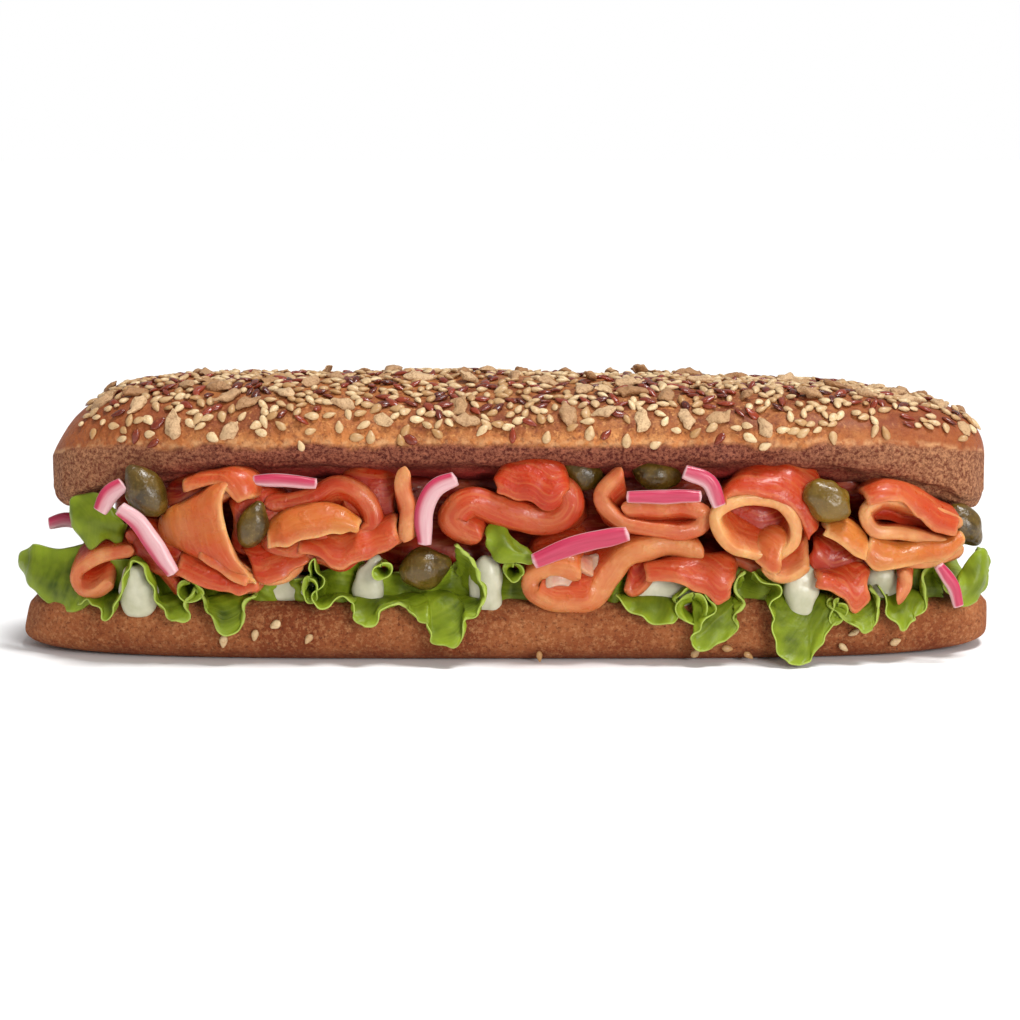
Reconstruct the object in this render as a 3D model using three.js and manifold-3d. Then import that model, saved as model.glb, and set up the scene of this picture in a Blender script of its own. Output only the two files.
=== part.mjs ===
// A long seeded roll filled with lettuce, cream, folded smoked salmon, pickled onion and caper berries.
// Millimetres, +Z up. X runs along the roll, and the side that shows most filling faces -Y.
// The origin is the middle of the footprint, on the surface that the sandwich rests on.
import * as THREE from "three";
import { mergeVertices } from "three/addons/utils/BufferGeometryUtils.js";
import Module from "manifold-3d";

const wasm = await Module();
wasm.setup();

const GAP = 0.3; // clearance kept between pieces that touch
const SHORTEST_EDGE = 0.05; // shorter ones, which the cuts leave, are drawn together

// The two halves of the roll
const BOTTOM = {
  halfLength: 141,
  halfDepth: 38,
  top: 17.5,
  tipZ: 8, // height of the two end points
  plan: 3.5, // power of the rounded outline seen from above
  profile: 8, // power of the rounded outline seen from the front
  rings: 18,
  // the outline of the cut across, as shares of the half depth and the height
  side: [[0.86, 0], [0.95, 0.12], [1, 0.45], [0.98, 0.8], [0.9, 0.97], [0.45, 1]],
};
const TOP = {
  left: -131,
  right: 139,
  halfDepth: 38,
  crown: 78.5,
  crownFall: 3.5, // how much lower the crown is at the right end
  crust: 60.5, // where the shiny crust meets the torn side
  under: 56.5,
  underDrop: 24, // how far the underside dips at the ends
  underPower: 7,
  tipZ: 53,
  plan: 3.5,
  crownProfile: 3.8,
  lipProfile: 5,
  rings: 24,
  domeSteps: 10,
  sidePower: 0.85, // how square the dome's side is
  domePower: 0.8,
  lower: [[0.96, 1.2], [0.88, 0], [0.5, -6]], // share of the depth, and height over the underside
};

// Seeds fused to the crust, the largest first: how many, and half the length, width and thickness.
const SEEDS = [
  { count: 16, size: [4.2, 2.5, 1.3], spread: 1 },
  { count: 12, size: [3.6, 2.3, 1.0], spread: 1.06 },
  { count: 6, size: [2.7, 1.4, 0.9], spread: 1.12 },
];
const SEED_START = 41;
const SEED_REACH = 0.93; // share of the crust's length that is seeded
const SEED_SPACE = 0.6;
const SEED_LIFT = 0.45; // share of its thickness that a seed stands above the crust
const LOOSE_SEED = [1.9, 1.2, 0.9];
// x and z of the seeds that stuck to the lower bread
const LOOSE_SEEDS = [[-76, 6], [-70, 7], [-62, 6], [-54, 6], [44, 3], [64, 3], [70, 2], [98, 4], [112, 5]];

// Smoked salmon. Each path is the middle of a slice as its front edge shows, in [x, z], and out is how far
// that edge stands in front of the bread. A fold without a depth runs right through to the back.
const SALMON_THICK = 4.6;
const SALMON_END = 0.55; // share of the thickness where a slice runs out
const FOLD_SHOULDER = 13; // how far behind its front edge a fold has opened up
const FRONT_SPACE = { floor: 29, roof: 43 }; // heights open to the folds at that shoulder
const BACK_SPACE = { floor: 26, roof: 53 };
const BACK_OUT = 1;
const DRIFT = { aside: 9, sway: 3, swayLength: 19, rise: 2.5, riseLength: 13, riseStart: 2 };
const FOLDS = [
  {
    name: "salmon_big_roll", out: 4, rise: 7, along: 18,
    path: [[69, 31], [64, 33], [60, 37], [59, 42], [63, 46], [70, 47], [77, 45], [81, 40], [81, 34],
      [77, 30], [74, 27], [77, 24], [82, 25], [86, 28]],
  },
  {
    name: "salmon_calla", out: 5, along: 14,
    path: [[-71, 53], [-75, 50], [-79, 47], [-79, 41], [-76, 34], [-73, 28], [-67, 24], [-61, 24],
      [-56, 28]],
    inner: [[-84, 47], [-91, 46], [-95, 42], [-95, 36], [-92, 31], [-87, 27], [-80, 26], [-73, 26],
      [-66, 28]],
  },
  {
    name: "salmon_pretzel", out: 1, along: 20, thick: 5.2, rise: 2,
    path: [[-1, 48], [0, 53], [6, 56], [12, 55], [17, 52], [20, 47], [20, 42], [15, 38], [8, 40], [0, 43],
      [-7, 47], [-13, 48], [-17, 44], [-15, 39], [-11, 36], [-5, 34]],
  },
  {
    name: "salmon_long_fold", out: 2, along: 18, thick: 5.6, rise: 1,
    path: [[56, 30], [48, 33], [40, 32], [34, 29], [30, 23], [26, 17], [20, 16], [13, 16], [8, 19], [8, 24],
      [13, 26], [22, 24]],
  },
  {
    name: "salmon_hook_loop", out: 1, along: 16, thick: 4.2,
    path: [[33, 56], [29, 52], [27, 48], [29, 44], [34, 40], [42, 38], [50, 37], [55, 39], [56, 43],
      [51, 45], [42, 44], [33, 45]],
  },
  {
    name: "salmon_right_loop", out: 4, along: 14, thick: 4,
    path: [[129, 38], [121, 42], [112, 46], [105, 47], [101, 43], [103, 38], [110, 37], [117, 35],
      [125, 32]],
  },
  {
    name: "salmon_roll_left", out: 3, along: 12,
    path: [[-104, 32], [-111, 31], [-118, 28], [-122, 24], [-121, 20], [-116, 19], [-111, 22]],
  },
  {
    name: "salmon_loop_upper", out: 0, along: 12, rise: 1,
    path: [[-67, 45], [-60, 46], [-54, 48], [-47, 52], [-41, 50], [-37, 44], [-36, 39], [-40, 37]],
  },
  {
    name: "salmon_loop_arm", out: 2, along: 12, thick: 4.2,
    path: [[-43, 38], [-48, 41], [-56, 42], [-63, 39], [-66, 34], [-61, 31], [-55, 34], [-49, 36]],
  },
  {
    name: "salmon_flap", out: 1, along: 10, rise: 4,
    path: [[-58, 31], [-51, 29], [-46, 27], [-41, 30], [-34, 33], [-28, 36]],
  },
  {
    name: "salmon_upright", out: 1, along: 6, thick: 3.6,
    path: [[-27, 56], [-28, 52], [-27, 44], [-28, 35]],
  },
  {
    name: "salmon_pleat", out: 5, along: 12, thick: 3.4, depth: 16,
    path: [[-92, 28], [-85, 24], [-77, 20], [-70, 20], [-69, 23], [-76, 25], [-82, 28], [-87, 32]],
  },
  { name: "salmon_flank", out: 1, along: 6, rise: 3, path: [[-106, 37], [-102, 31], [-96, 24], [-91, 19]] },
  {
    name: "salmon_top_fold", out: -6, along: 8, thick: 4, depth: 26,
    path: [[-98, 43], [-91, 48], [-83, 51], [-77, 50]],
  },
  {
    name: "salmon_right_flap", out: 3, along: 10, thick: 5,
    path: [[102, 32], [107, 28], [114, 28], [122, 29], [129, 32]],
  },
  {
    name: "salmon_low_fold", out: 2, along: 10, thick: 4.2,
    path: [[43, 25], [49, 27], [55, 27], [61, 24], [61, 19]],
  },
  {
    name: "salmon_tongue", out: 5, along: 6, thick: 5.4, depth: 20,
    path: [[87, 24], [92, 22], [96, 20], [99, 16]],
  },
  {
    name: "salmon_dark_fold", out: -3, along: 5, thick: 4, depth: 20,
    path: [[87, 33], [93, 33], [99, 30], [102, 26], [96, 25], [90, 27]],
  },
  {
    name: "salmon_strip", out: 3, along: 5, thick: 3.4, depth: 18,
    path: [[90, 38], [96, 37], [102, 33]],
  },
  {
    name: "salmon_wedge", out: 5, along: 5, thick: 4.4, depth: 20,
    path: [[113, 26], [113, 21], [111, 16]],
  },
  {
    name: "salmon_back_sheet", out: -9, along: 6, thick: 3.6,
    path: [[-36, 48], [-32, 45], [-31, 40], [-34, 34]],
  },
];
// A slice tucked in flat, low down behind the folds' front edges.
const BED = {
  height: 24.6, thick: 2.8, from: -108, to: 112, inset: 12, depth: 18, wave: 0.7, waveLength: 9, along: 8,
};

// Lettuce. Front rims of the leaves, as [x, out, z]: low points hang over the lower bread, and high ones
// stand between the other fillings.
const LEAF_THICK = 0.8;
const LEAF_BED = { height: 18.3, inset: 11 }; // where the leaves lie on the lower bread
const LEAF_BACK = { out: 3, height: 13, wave: 4, waveLength: 3.1 };
const LEAVES = [
  {
    name: "lettuce_left", along: 20,
    rim: [[-117, 3, 16], [-112, 6, 12], [-108, 5, 16], [-106, 4, 24], [-102, 4, 28], [-98, 4, 23],
      [-95, 5, 13], [-90, 6, 11], [-86, 4, 17], [-82, 3, 18], [-79, 5, 11], [-74, 6, 10], [-70, 3, 18]],
  },
  {
    name: "lettuce_middle", along: 22,
    rim: [[-57, 0, 18], [-54, 3, 20], [-52, 3, 30], [-49, 4, 18], [-43, 4, 17], [-38, 5, 11], [-32, 3, 16],
      [-26, 4, 15], [-21, 5, 9], [-16, 6, 6], [-11, 5, 10], [-6, 4, 15], [-6, 3, 22], [-11, 2, 30],
      [-15, 1, 33]],
  },
  {
    name: "lettuce_centre", along: 20,
    rim: [[31, 0, 18], [35, 3, 15], [41, 4, 10], [47, 4, 11], [50, 3, 18], [55, 3, 20], [55, 5, 9],
      [57, 6, 4], [61, 5, 9], [66, 4, 13], [65, 3, 20], [67, 2, 25]],
  },
  {
    name: "lettuce_right", along: 20,
    rim: [[71, 1, 20], [74, 5, 15], [77, 7, 6], [81, 9, 1], [86, 8, 5], [91, 6, 11], [93, 5, 18],
      [96, 6, 11], [101, 8, 8], [105, 7, 13], [104, 5, 21]],
  },
  {
    name: "lettuce_end", along: 14,
    rim: [[107, 4, 19], [110, 4, 11], [113, 5, 7], [117, 3, 15], [122, 2, 23], [127, 2, 15],
      [132, 2, 16], [136, 2, 24]],
  },
];
// Leaf tips that stand clear of the bed: blades bowed to the front between two rims, as [x, y, z].
const BLADE = { thick: 1, bow: 2, along: 8 };
const BLADES = [
  {
    name: "lettuce_outer",
    lower: [[-138, -15, 22], [-134, -22, 17], [-129, -28, 14], [-125, -31, 13], [-120, -33, 15]],
    upper: [[-139, -12, 25], [-133, -19, 28], [-127, -24, 29], [-122, -27, 31], [-117, -29, 31]],
  },
  {
    name: "lettuce_shoulder",
    lower: [[-120, -27, 33], [-116, -28, 33], [-112, -29, 34], [-108, -30, 35]],
    upper: [[-125, -24, 41], [-121, -25, 45], [-115, -26, 46], [-109, -28, 42]],
  },
  {
    name: "lettuce_peak",
    lower: [[-5, -38, 29], [-1, -39, 28], [4, -39, 28], [8, -38, 28]],
    upper: [[-5, -36, 37], [-2, -36, 39], [3, -36, 34], [7, -37, 31]],
  },
];

// Pickled onion strips, each along a path of [x, z] at depth y.
// end is the share of the width that is left at a tip, edge the share of the thickness
const ONION = { thick: 2.2, end: 0.55, edge: 0.8, along: 6 };
const ONIONS = [
  { name: "onion_top_left", y: -38, width: 4.8, path: [[-107, 51], [-110, 48], [-113, 44]] },
  { name: "onion_long", y: -42, width: 3.8, path: [[-107, 45], [-102, 41], [-97, 34], [-92, 26]] },
  { name: "onion_tip", y: -14, width: 4.2, path: [[-131, 36], [-126, 37], [-118, 35]] },
  { name: "onion_flat", y: -38, width: 3.2, path: [[-70, 52], [-62, 52], [-52, 51]] },
  { name: "onion_curved", y: -40, width: 4.6, path: [[-13, 53], [-19, 50], [-22, 44], [-22, 34]] },
  { name: "onion_front", y: -44, width: 4, path: [[9, 31], [21, 35], [34, 38]] },
  { name: "onion_bar", y: -42, width: 3.6, path: [[34, 48], [44, 48], [55, 48]] },
  { name: "onion_arc", y: -41, width: 4.2, path: [[51, 55], [57, 52], [60, 46]] },
  { name: "onion_end", y: -37, width: 3.4, path: [[123, 27], [126, 22], [128, 17]] },
  { name: "onion_back_right", y: 40, width: 4.2, path: [[62, 44], [74, 47], [86, 43]] },
];

// Caper berries: centre, length, girth, and tilt in degrees from X towards +Z.
const CAPERS = [
  { name: "caper_left", at: [-100, -37, 49], length: 17, girth: 10.5, tilt: 125 },
  { name: "caper_fold", at: [-70, -40, 40], length: 13.5, girth: 8.5, tilt: 70 },
  { name: "caper_leaf", at: [-22, -37, 27], length: 15, girth: 11.5, tilt: 15 },
  { name: "caper_middle", at: [22, -31, 53], length: 14, girth: 9, tilt: -25 },
  { name: "caper_right", at: [43, -32, 53], length: 14, girth: 9, tilt: -12 },
  { name: "caper_lump", at: [91, -39, 46], length: 13.5, girth: 10.5, tilt: -35 },
  { name: "caper_end", at: [131, -24, 37], length: 14, girth: 9.5, tilt: -50 },
  { name: "caper_back_middle", at: [22, 39, 40], length: 14, girth: 10, tilt: 100 },
];

// Cream: what swells out between the leaves, by centre and full size, and the spread over them.
const DOLLOPS = [
  { name: "cream_left", at: [-102, -39, 20], size: [11, 8, 14] },
  { name: "cream_flat", at: [-63, -36, 20], size: [14, 8, 8] },
  { name: "cream_curl", at: [-38, -40, 22], size: [10, 8, 15] },
  { name: "cream_centre", at: [-3, -40, 21], size: [9, 9, 15] },
  { name: "cream_right", at: [45, -39, 19], size: [17, 9, 11] },
  { name: "cream_drop", at: [85, -41, 19], size: [9, 8, 14] },
  { name: "cream_end", at: [107, -36, 22], size: [8, 7, 8] },
  { name: "cream_back_right", at: [40, 39, 20], size: [18, 8, 12] },
];
const SPREAD = { halfLength: 114, rows: [-25, 0, 33], height: 20.7, thick: 2.6, along: 12, wave: 1 };

const FINISH = {
  crumb: { color: "#8a5230", roughness: 0.85, metalness: 0 },
  crust: { color: "#a4662f", roughness: 0.6, metalness: 0 },
  salmon: { color: "#e8632c", roughness: 0.35, metalness: 0 },
  leaf: { color: "#6f9a22", roughness: 0.5, metalness: 0 },
  cream: { color: "#efe9dc", roughness: 0.4, metalness: 0 },
  onion: { color: "#d97a98", roughness: 0.35, metalness: 0 },
  caper: { color: "#6e6a24", roughness: 0.4, metalness: 0 },
};

// A repeatable stream of numbers from 0 to 1.
function numberStream(seed) {
  const factor = 16807;
  const modulus = 2147483647;
  let state = seed;
  return () => {
    state = (state * factor) % modulus;
    return state / modulus;
  };
}

// Solids and geometries
function solidOf(geometry) {
  const bare = new THREE.BufferGeometry().setAttribute("position", geometry.getAttribute("position"));
  bare.setIndex(geometry.getIndex());
  const merged = mergeVertices(bare, 1e-4);
  const mesh = new wasm.Mesh({
    numProp: 3,
    vertProperties: merged.attributes.position.array,
    triVerts: new Uint32Array(merged.index.array),
  });
  return new wasm.Manifold(mesh);
}

function largestBody(solid) {
  return solid.decompose().reduce((best, body) => (body.volume() > best.volume() ? body : best));
}

// The faces of a solid, without the tiny ones: the two ends of each very short edge become one point.
function geometryOf(solid) {
  const { numProp, numVert, vertProperties, triVerts } = solid.getMesh();
  const pointAt = (i) => new THREE.Vector3().fromArray(vertProperties, i * numProp);
  const points = Array.from({ length: numVert }, (_, i) => pointAt(i));
  const joined = points.map((_, i) => i);
  const joinedTo = (i) => (joined[i] === i ? i : joinedTo(joined[i]));
  const cornersOf = (start) => [0, 1, 2].map((k) => joinedTo(triVerts[start + k]));
  for (let start = 0; start < triVerts.length; start += 3) {
    for (const side of [0, 1, 2]) {
      const corners = cornersOf(start);
      const a = corners[side];
      const b = corners[(side + 1) % 3];
      if (points[a].distanceTo(points[b]) < SHORTEST_EDGE) joined[b] = a;
    }
  }
  const kept = [];
  for (let start = 0; start < triVerts.length; start += 3) {
    const corners = cornersOf(start);
    if (new Set(corners).size === 3) kept.push(...corners.map((i) => points[i]));
  }
  return mergeVertices(new THREE.BufferGeometry().setFromPoints(kept));
}

function signedVolume(points, triangles) {
  let sum = 0;
  const cross = new THREE.Vector3();
  for (let i = 0; i < triangles.length; i += 3) {
    const [a, b, c] = [0, 1, 2].map((k) => points[triangles[i + k]]);
    sum += a.dot(cross.crossVectors(b, c));
  }
  return sum;
}

// A closed surface through the points, turned so that its faces point out.
function closedGeometry(points, triangles) {
  if (signedVolume(points, triangles) < 0) triangles.reverse();
  const geometry = new THREE.BufferGeometry().setFromPoints(points);
  geometry.setIndex(triangles);
  return geometry;
}

// A thin closed solid between two facing grids of points with the same rows and columns.
function slabGeometry(upper, lower) {
  const rows = upper.length;
  const columns = upper[0].length;
  const points = [...upper.flat(), ...lower.flat()];
  const at = (side, r, c) => side * rows * columns + r * columns + c;
  const triangles = [];
  const quad = (a, b, c, d) => triangles.push(a, b, c, a, c, d);
  for (let r = 0; r < rows - 1; r++) {
    for (let c = 0; c < columns - 1; c++) {
      quad(at(0, r, c), at(0, r, c + 1), at(0, r + 1, c + 1), at(0, r + 1, c));
      // the other face is split along the same diagonal, turned over
      triangles.push(at(1, r, c), at(1, r + 1, c + 1), at(1, r, c + 1));
      triangles.push(at(1, r, c), at(1, r + 1, c), at(1, r + 1, c + 1));
    }
  }
  const lastRow = rows - 1;
  const lastColumn = columns - 1;
  for (let c = 0; c < lastColumn; c++) {
    quad(at(0, 0, c + 1), at(0, 0, c), at(1, 0, c), at(1, 0, c + 1));
    quad(at(0, lastRow, c), at(0, lastRow, c + 1), at(1, lastRow, c + 1), at(1, lastRow, c));
  }
  for (let r = 0; r < lastRow; r++) {
    quad(at(0, r, 0), at(0, r + 1, 0), at(1, r + 1, 0), at(1, r, 0));
    quad(at(0, r, lastColumn), at(1, r, lastColumn), at(1, r + 1, lastColumn), at(0, r + 1, lastColumn));
  }
  return closedGeometry(points, triangles);
}

function gridNormal(grid, r, c) {
  const clamped = (index, count) => Math.min(Math.max(index, 0), count - 1);
  const pointAt = (row, column) => grid[clamped(row, grid.length)][clamped(column, grid[0].length)];
  const along = new THREE.Vector3().subVectors(pointAt(r, c + 1), pointAt(r, c - 1));
  const across = new THREE.Vector3().subVectors(pointAt(r + 1, c), pointAt(r - 1, c));
  return along.cross(across).normalize();
}

// Moves the outer points of a grid outwards by a margin.
function widened(grid, margin) {
  if (margin === 0) return grid;
  const pushed = (edge, inner) => edge.clone().add(edge.clone().sub(inner).setLength(margin));
  const rows = grid.map((row) => [
    pushed(row[0], row[1]),
    ...row.slice(1, -1),
    pushed(row.at(-1), row.at(-2)),
  ]);
  const first = rows[0].map((point, c) => pushed(point, rows[1][c]));
  const last = rows.at(-1).map((point, c) => pushed(point, rows.at(-2)[c]));
  return [first, ...rows.slice(1, -1), last];
}

// The two faces of a sheet of even thickness about a grid, thinner where its two ends run out, grown all
// round by a margin.
function sheetFaces(grid, thickness, endShare, grow) {
  const wide = widened(grid, grow);
  const last = grid[0].length - 1;
  const half = (c) => (thickness / 2) * (c === 0 || c === last ? endShare : 1) + grow;
  const moved = (r, c, way) => wide[r][c].clone().addScaledVector(gridNormal(wide, r, c), way * half(c));
  return [1, -1].map((way) => wide.map((row, r) => row.map((_, c) => moved(r, c, way))));
}

function sheetSolid(grid, thickness, endShare, grow) {
  return solidOf(slabGeometry(...sheetFaces(grid, thickness, endShare, grow)));
}

// A sheet that may fold onto itself, joined column by column so that it is still one plain solid.
function foldedSolid(grid, thickness, endShare, grow) {
  const faces = sheetFaces(grid, thickness, endShare, grow);
  const columns = grid[0].slice(1).map((_, c) =>
    solidOf(slabGeometry(...faces.map((face) => face.map((row) => row.slice(c, c + 2))))),
  );
  return columns.reduce((joined, column) => joined.add(column));
}

function spacedPath(points, count) {
  return new THREE.CatmullRomCurve3(points, false, "centripetal").getSpacedPoints(count);
}

// Bread
function roundShare(t, power) {
  return Math.pow(Math.max(0, 1 - Math.pow(Math.abs(t), power)), 1 / power);
}

// A closed loaf: rings of points across X between two tips.
function loafGeometry(stations, ringAt, tips) {
  const rings = stations.map(ringAt);
  const size = rings[0].length;
  const points = [tips[0], ...rings.flat(), tips[1]];
  const triangles = [];
  const at = (ring, k) => 1 + ring * size + (k % size);
  for (let k = 0; k < size; k++) {
    triangles.push(0, at(0, k + 1), at(0, k));
    triangles.push(points.length - 1, at(rings.length - 1, k), at(rings.length - 1, k + 1));
    for (let ring = 0; ring < rings.length - 1; ring++) {
      triangles.push(at(ring, k), at(ring, k + 1), at(ring + 1, k + 1));
      triangles.push(at(ring, k), at(ring + 1, k + 1), at(ring + 1, k));
    }
  }
  return closedGeometry(points, triangles);
}

// Places from -1 to 1 along a loaf, closer together at its round ends.
function stationShares(count) {
  const even = (i) => ((i + 1) / (count + 1)) * 2 - 1;
  return Array.from({ length: count }, (_, i) => Math.sin((even(i) * Math.PI) / 2));
}

// How far the lower bread reaches from the middle plane at a place along it.
function breadEdge(x) {
  return BOTTOM.halfDepth * roundShare(Math.min(1, Math.abs(x) / BOTTOM.halfLength), BOTTOM.plan);
}

function bottomRing(t) {
  const x = t * BOTTOM.halfLength;
  const height = roundShare(t, BOTTOM.profile);
  const outline = [...BOTTOM.side, ...BOTTOM.side.map(([y, z]) => [-y, z]).reverse()];
  return outline.map(([y, z]) => {
    const rise = (z * BOTTOM.top - BOTTOM.tipZ) * height;
    return new THREE.Vector3(x, y * breadEdge(x), BOTTOM.tipZ + rise);
  });
}

function bottomBread() {
  const tips = [-1, 1].map((side) => new THREE.Vector3(side * BOTTOM.halfLength, 0, BOTTOM.tipZ));
  return solidOf(loafGeometry(stationShares(BOTTOM.rings), bottomRing, tips));
}

// The lower bread scaled about its middle so that its faces move out by about the margin.
function bottomWithMargin(margin) {
  const middle = BOTTOM.top / 2;
  const factors = [BOTTOM.halfLength, BOTTOM.halfDepth, middle].map((half) => 1 + margin / half);
  return bottomBread().translate([0, 0, -middle]).scale(factors).translate([0, 0, middle]);
}

function topX(t) {
  return (TOP.left + TOP.right) / 2 + (t * (TOP.right - TOP.left)) / 2;
}

// A point of the domed crust: t along its length, angle from the front (0) over the top to the back (pi).
function crustPoint(t, angle) {
  const depth = roundShare(t, TOP.plan) * TOP.halfDepth;
  const side = -Math.sign(Math.cos(angle)) * Math.pow(Math.abs(Math.cos(angle)), TOP.sidePower);
  const crown = TOP.crown - TOP.crownFall * (0.5 + 0.5 * t);
  const full = TOP.crust + (crown - TOP.crust) * Math.pow(Math.max(0, Math.sin(angle)), TOP.domePower);
  const z = TOP.tipZ + (full - TOP.tipZ) * roundShare(t, TOP.crownProfile);
  return new THREE.Vector3(topX(t), side * depth, z);
}

function crustNormal(t, angle) {
  const step = 0.01;
  const along = crustPoint(t + step, angle).sub(crustPoint(t - step, angle));
  const around = crustPoint(t, angle + step).sub(crustPoint(t, angle - step));
  return along.cross(around).normalize();
}

function topRing(t) {
  const depth = roundShare(t, TOP.plan) * TOP.halfDepth;
  const lip = roundShare(t, TOP.lipProfile);
  const full = TOP.under - TOP.underDrop * Math.pow(Math.abs(t), TOP.underPower);
  const low = TOP.tipZ + (full - TOP.tipZ) * lip;
  const domeStep = Math.PI / TOP.domeSteps;
  const dome = Array.from({ length: TOP.domeSteps + 1 }, (_, k) => crustPoint(t, k * domeStep));
  const lowPoint = ([y, z], side) => new THREE.Vector3(topX(t), side * y * depth, low + z * lip);
  const back = TOP.lower.map((place) => lowPoint(place, 1));
  const front = TOP.lower.map((place) => lowPoint(place, -1)).reverse();
  return [...dome, ...back, ...front];
}

function topBread() {
  const tips = [TOP.left, TOP.right].map((x) => new THREE.Vector3(x, 0, TOP.tipZ));
  return solidOf(loafGeometry(stationShares(TOP.rings), topRing, tips));
}

// A seed lying on a surface, turned by spin about the surface's normal.
function seedSolid(size, point, normal, spin) {
  const up = new THREE.Vector3(0, 0, 1);
  const turn = new THREE.Quaternion().setFromUnitVectors(up, normal);
  turn.multiply(new THREE.Quaternion().setFromAxisAngle(up, spin));
  const place = new THREE.Matrix4().compose(point, turn, new THREE.Vector3(...size));
  const sides = 6;
  const bands = 3;
  return solidOf(new THREE.SphereGeometry(1, sides, bands).rotateX(Math.PI / 2).applyMatrix4(place));
}

// Places for seeds on the crust, each clear of those before it.
function seedPlaces() {
  const next = numberStream(SEED_START);
  const places = [];
  for (const { count, size, spread } of SEEDS) {
    let made = 0;
    while (made < count) {
      const t = (next() * 2 - 1) * SEED_REACH;
      const angle = Math.PI / 2 + (next() * 2 - 1) * spread;
      const spin = next() * Math.PI;
      const point = crustPoint(t, angle);
      const tooNear = (other) => other.point.distanceTo(point) < other.size[0] + size[0] + SEED_SPACE;
      if (places.some(tooNear)) continue;
      places.push({ size, point, normal: crustNormal(t, angle), spin });
      made++;
    }
  }
  return places;
}

function seededTop() {
  const seeds = seedPlaces().map(({ size, point, normal, spin }) =>
    seedSolid(size, point.clone().addScaledVector(normal, size[2] * SEED_LIFT), normal, spin),
  );
  return seeds.reduce((bread, seed) => bread.add(seed), topBread());
}

function seededBottom() {
  const front = new THREE.Vector3(0, -1, 0);
  const seeds = LOOSE_SEEDS.map(([x, z], i) => {
    const place = new THREE.Vector3(x, -breadEdge(x), z);
    return seedSolid(LOOSE_SEED, place, front, i);
  });
  return seeds.reduce((bread, seed) => bread.add(seed), bottomBread());
}

// Salmon
// The folds drift aside and up or down as they run back, so the back doesn't repeat the front.
function drifted(x, y, z) {
  const share = (y + BOTTOM.halfDepth) / (2 * BOTTOM.halfDepth);
  const aside = DRIFT.aside + DRIFT.sway * Math.sin(x / DRIFT.swayLength);
  const rise = DRIFT.rise * Math.sin(x / DRIFT.riseLength + DRIFT.riseStart);
  return new THREE.Vector3(x + share * aside, y, z + share * rise);
}

// Squeezes a path's heights into a space between the breads.
function squeezed(path, space) {
  const heights = path.map((point) => point[1]);
  const low = Math.min(...heights);
  const high = Math.max(...heights);
  const floor = Math.max(low, space.floor);
  const roof = Math.max(Math.min(high, space.roof), floor + 1);
  return path.map(([x, z]) => [x, floor + ((z - low) * (roof - floor)) / (high - low)]);
}

function foldGrid({ path, inner = path, out, rise = 0, depth, along }) {
  const shoulder = depth ? Math.min(FOLD_SHOULDER, depth / 2) : FOLD_SHOULDER;
  const front = (x) => -breadEdge(x) - out;
  const back = (x) => (depth ? front(x) + depth : breadEdge(x) + BACK_OUT);
  const stops = [
    { points: path, yAt: front, lift: 0 },
    { points: squeezed(inner, FRONT_SPACE), yAt: (x) => front(x) + shoulder, lift: rise },
    { points: squeezed(inner, BACK_SPACE), yAt: back, lift: 0 },
  ];
  return stops.map(({ points, yAt, lift }) =>
    spacedPath(points.map(([x, z]) => drifted(x, yAt(x), z + lift)), along),
  );
}

function foldSolid(fold, grow) {
  return foldedSolid(foldGrid(fold), fold.thick ?? SALMON_THICK, SALMON_END, grow);
}

function bedSolid(grow) {
  const pointAt = (i, behind) => {
    const x = BED.from + ((BED.to - BED.from) * i) / BED.along;
    const z = BED.height + BED.wave * Math.sin((x + behind) / BED.waveLength);
    return new THREE.Vector3(x, BED.inset + behind - breadEdge(x), z);
  };
  const row = (behind) => Array.from({ length: BED.along + 1 }, (_, i) => pointAt(i, behind));
  return sheetSolid([row(0), row(BED.depth)], BED.thick, SALMON_END, grow);
}

// Lettuce
// A leaf lies on the lower bread, with ruffles that fade towards its middle and a plainer rim at the back.
function leafGrid({ rim, along }) {
  const front = spacedPath(rim.map(([x, out, z]) => new THREE.Vector3(x, -breadEdge(x) - out, z)), along);
  const evenX = (c) => THREE.MathUtils.lerp(front[0].x, front.at(-1).x, c / along);
  // x of a point where this share of the ruffle is left
  const drawn = (c, share) => THREE.MathUtils.lerp(evenX(c), front[c].x, share);
  const shoulder = front.map(({ z }, c) => {
    const x = drawn(c, 0.95);
    return new THREE.Vector3(x, -breadEdge(x), LEAF_BED.height + Math.max(0, z - LEAF_BED.height) * 0.95);
  });
  const bed = front.map((_, c) => {
    const x = drawn(c, 0.2);
    return new THREE.Vector3(x, LEAF_BED.inset - breadEdge(x), LEAF_BED.height);
  });
  const backBed = front.map((_, c) => {
    const x = evenX(c);
    return new THREE.Vector3(x, breadEdge(x) - 1, LEAF_BED.height);
  });
  const backRim = front.map((_, c) => {
    const x = evenX(c);
    const wave = Math.sin(x / LEAF_BACK.waveLength);
    const z = LEAF_BACK.height + LEAF_BACK.wave * wave;
    return new THREE.Vector3(x + 1.5 * wave, breadEdge(x) + LEAF_BACK.out, z);
  });
  return [front, shoulder, bed, backBed, backRim];
}

// Leaves are thin and slope steeply, so they keep twice the clearance.
function leafSolid(leaf, grow) {
  return sheetSolid(leafGrid(leaf), LEAF_THICK, 1, grow * 2);
}

function bladeSolid({ lower, upper }, grow) {
  const asCurve = (points) => spacedPath(points.map((point) => new THREE.Vector3(...point)), BLADE.along);
  const low = asCurve(lower);
  const high = asCurve(upper);
  const bow = new THREE.Vector3(0, -BLADE.bow, 0);
  const middle = low.map((point, i) => point.clone().lerp(high[i], 0.5).add(bow));
  return sheetSolid([low, middle, high], BLADE.thick, 1, grow);
}

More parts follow.
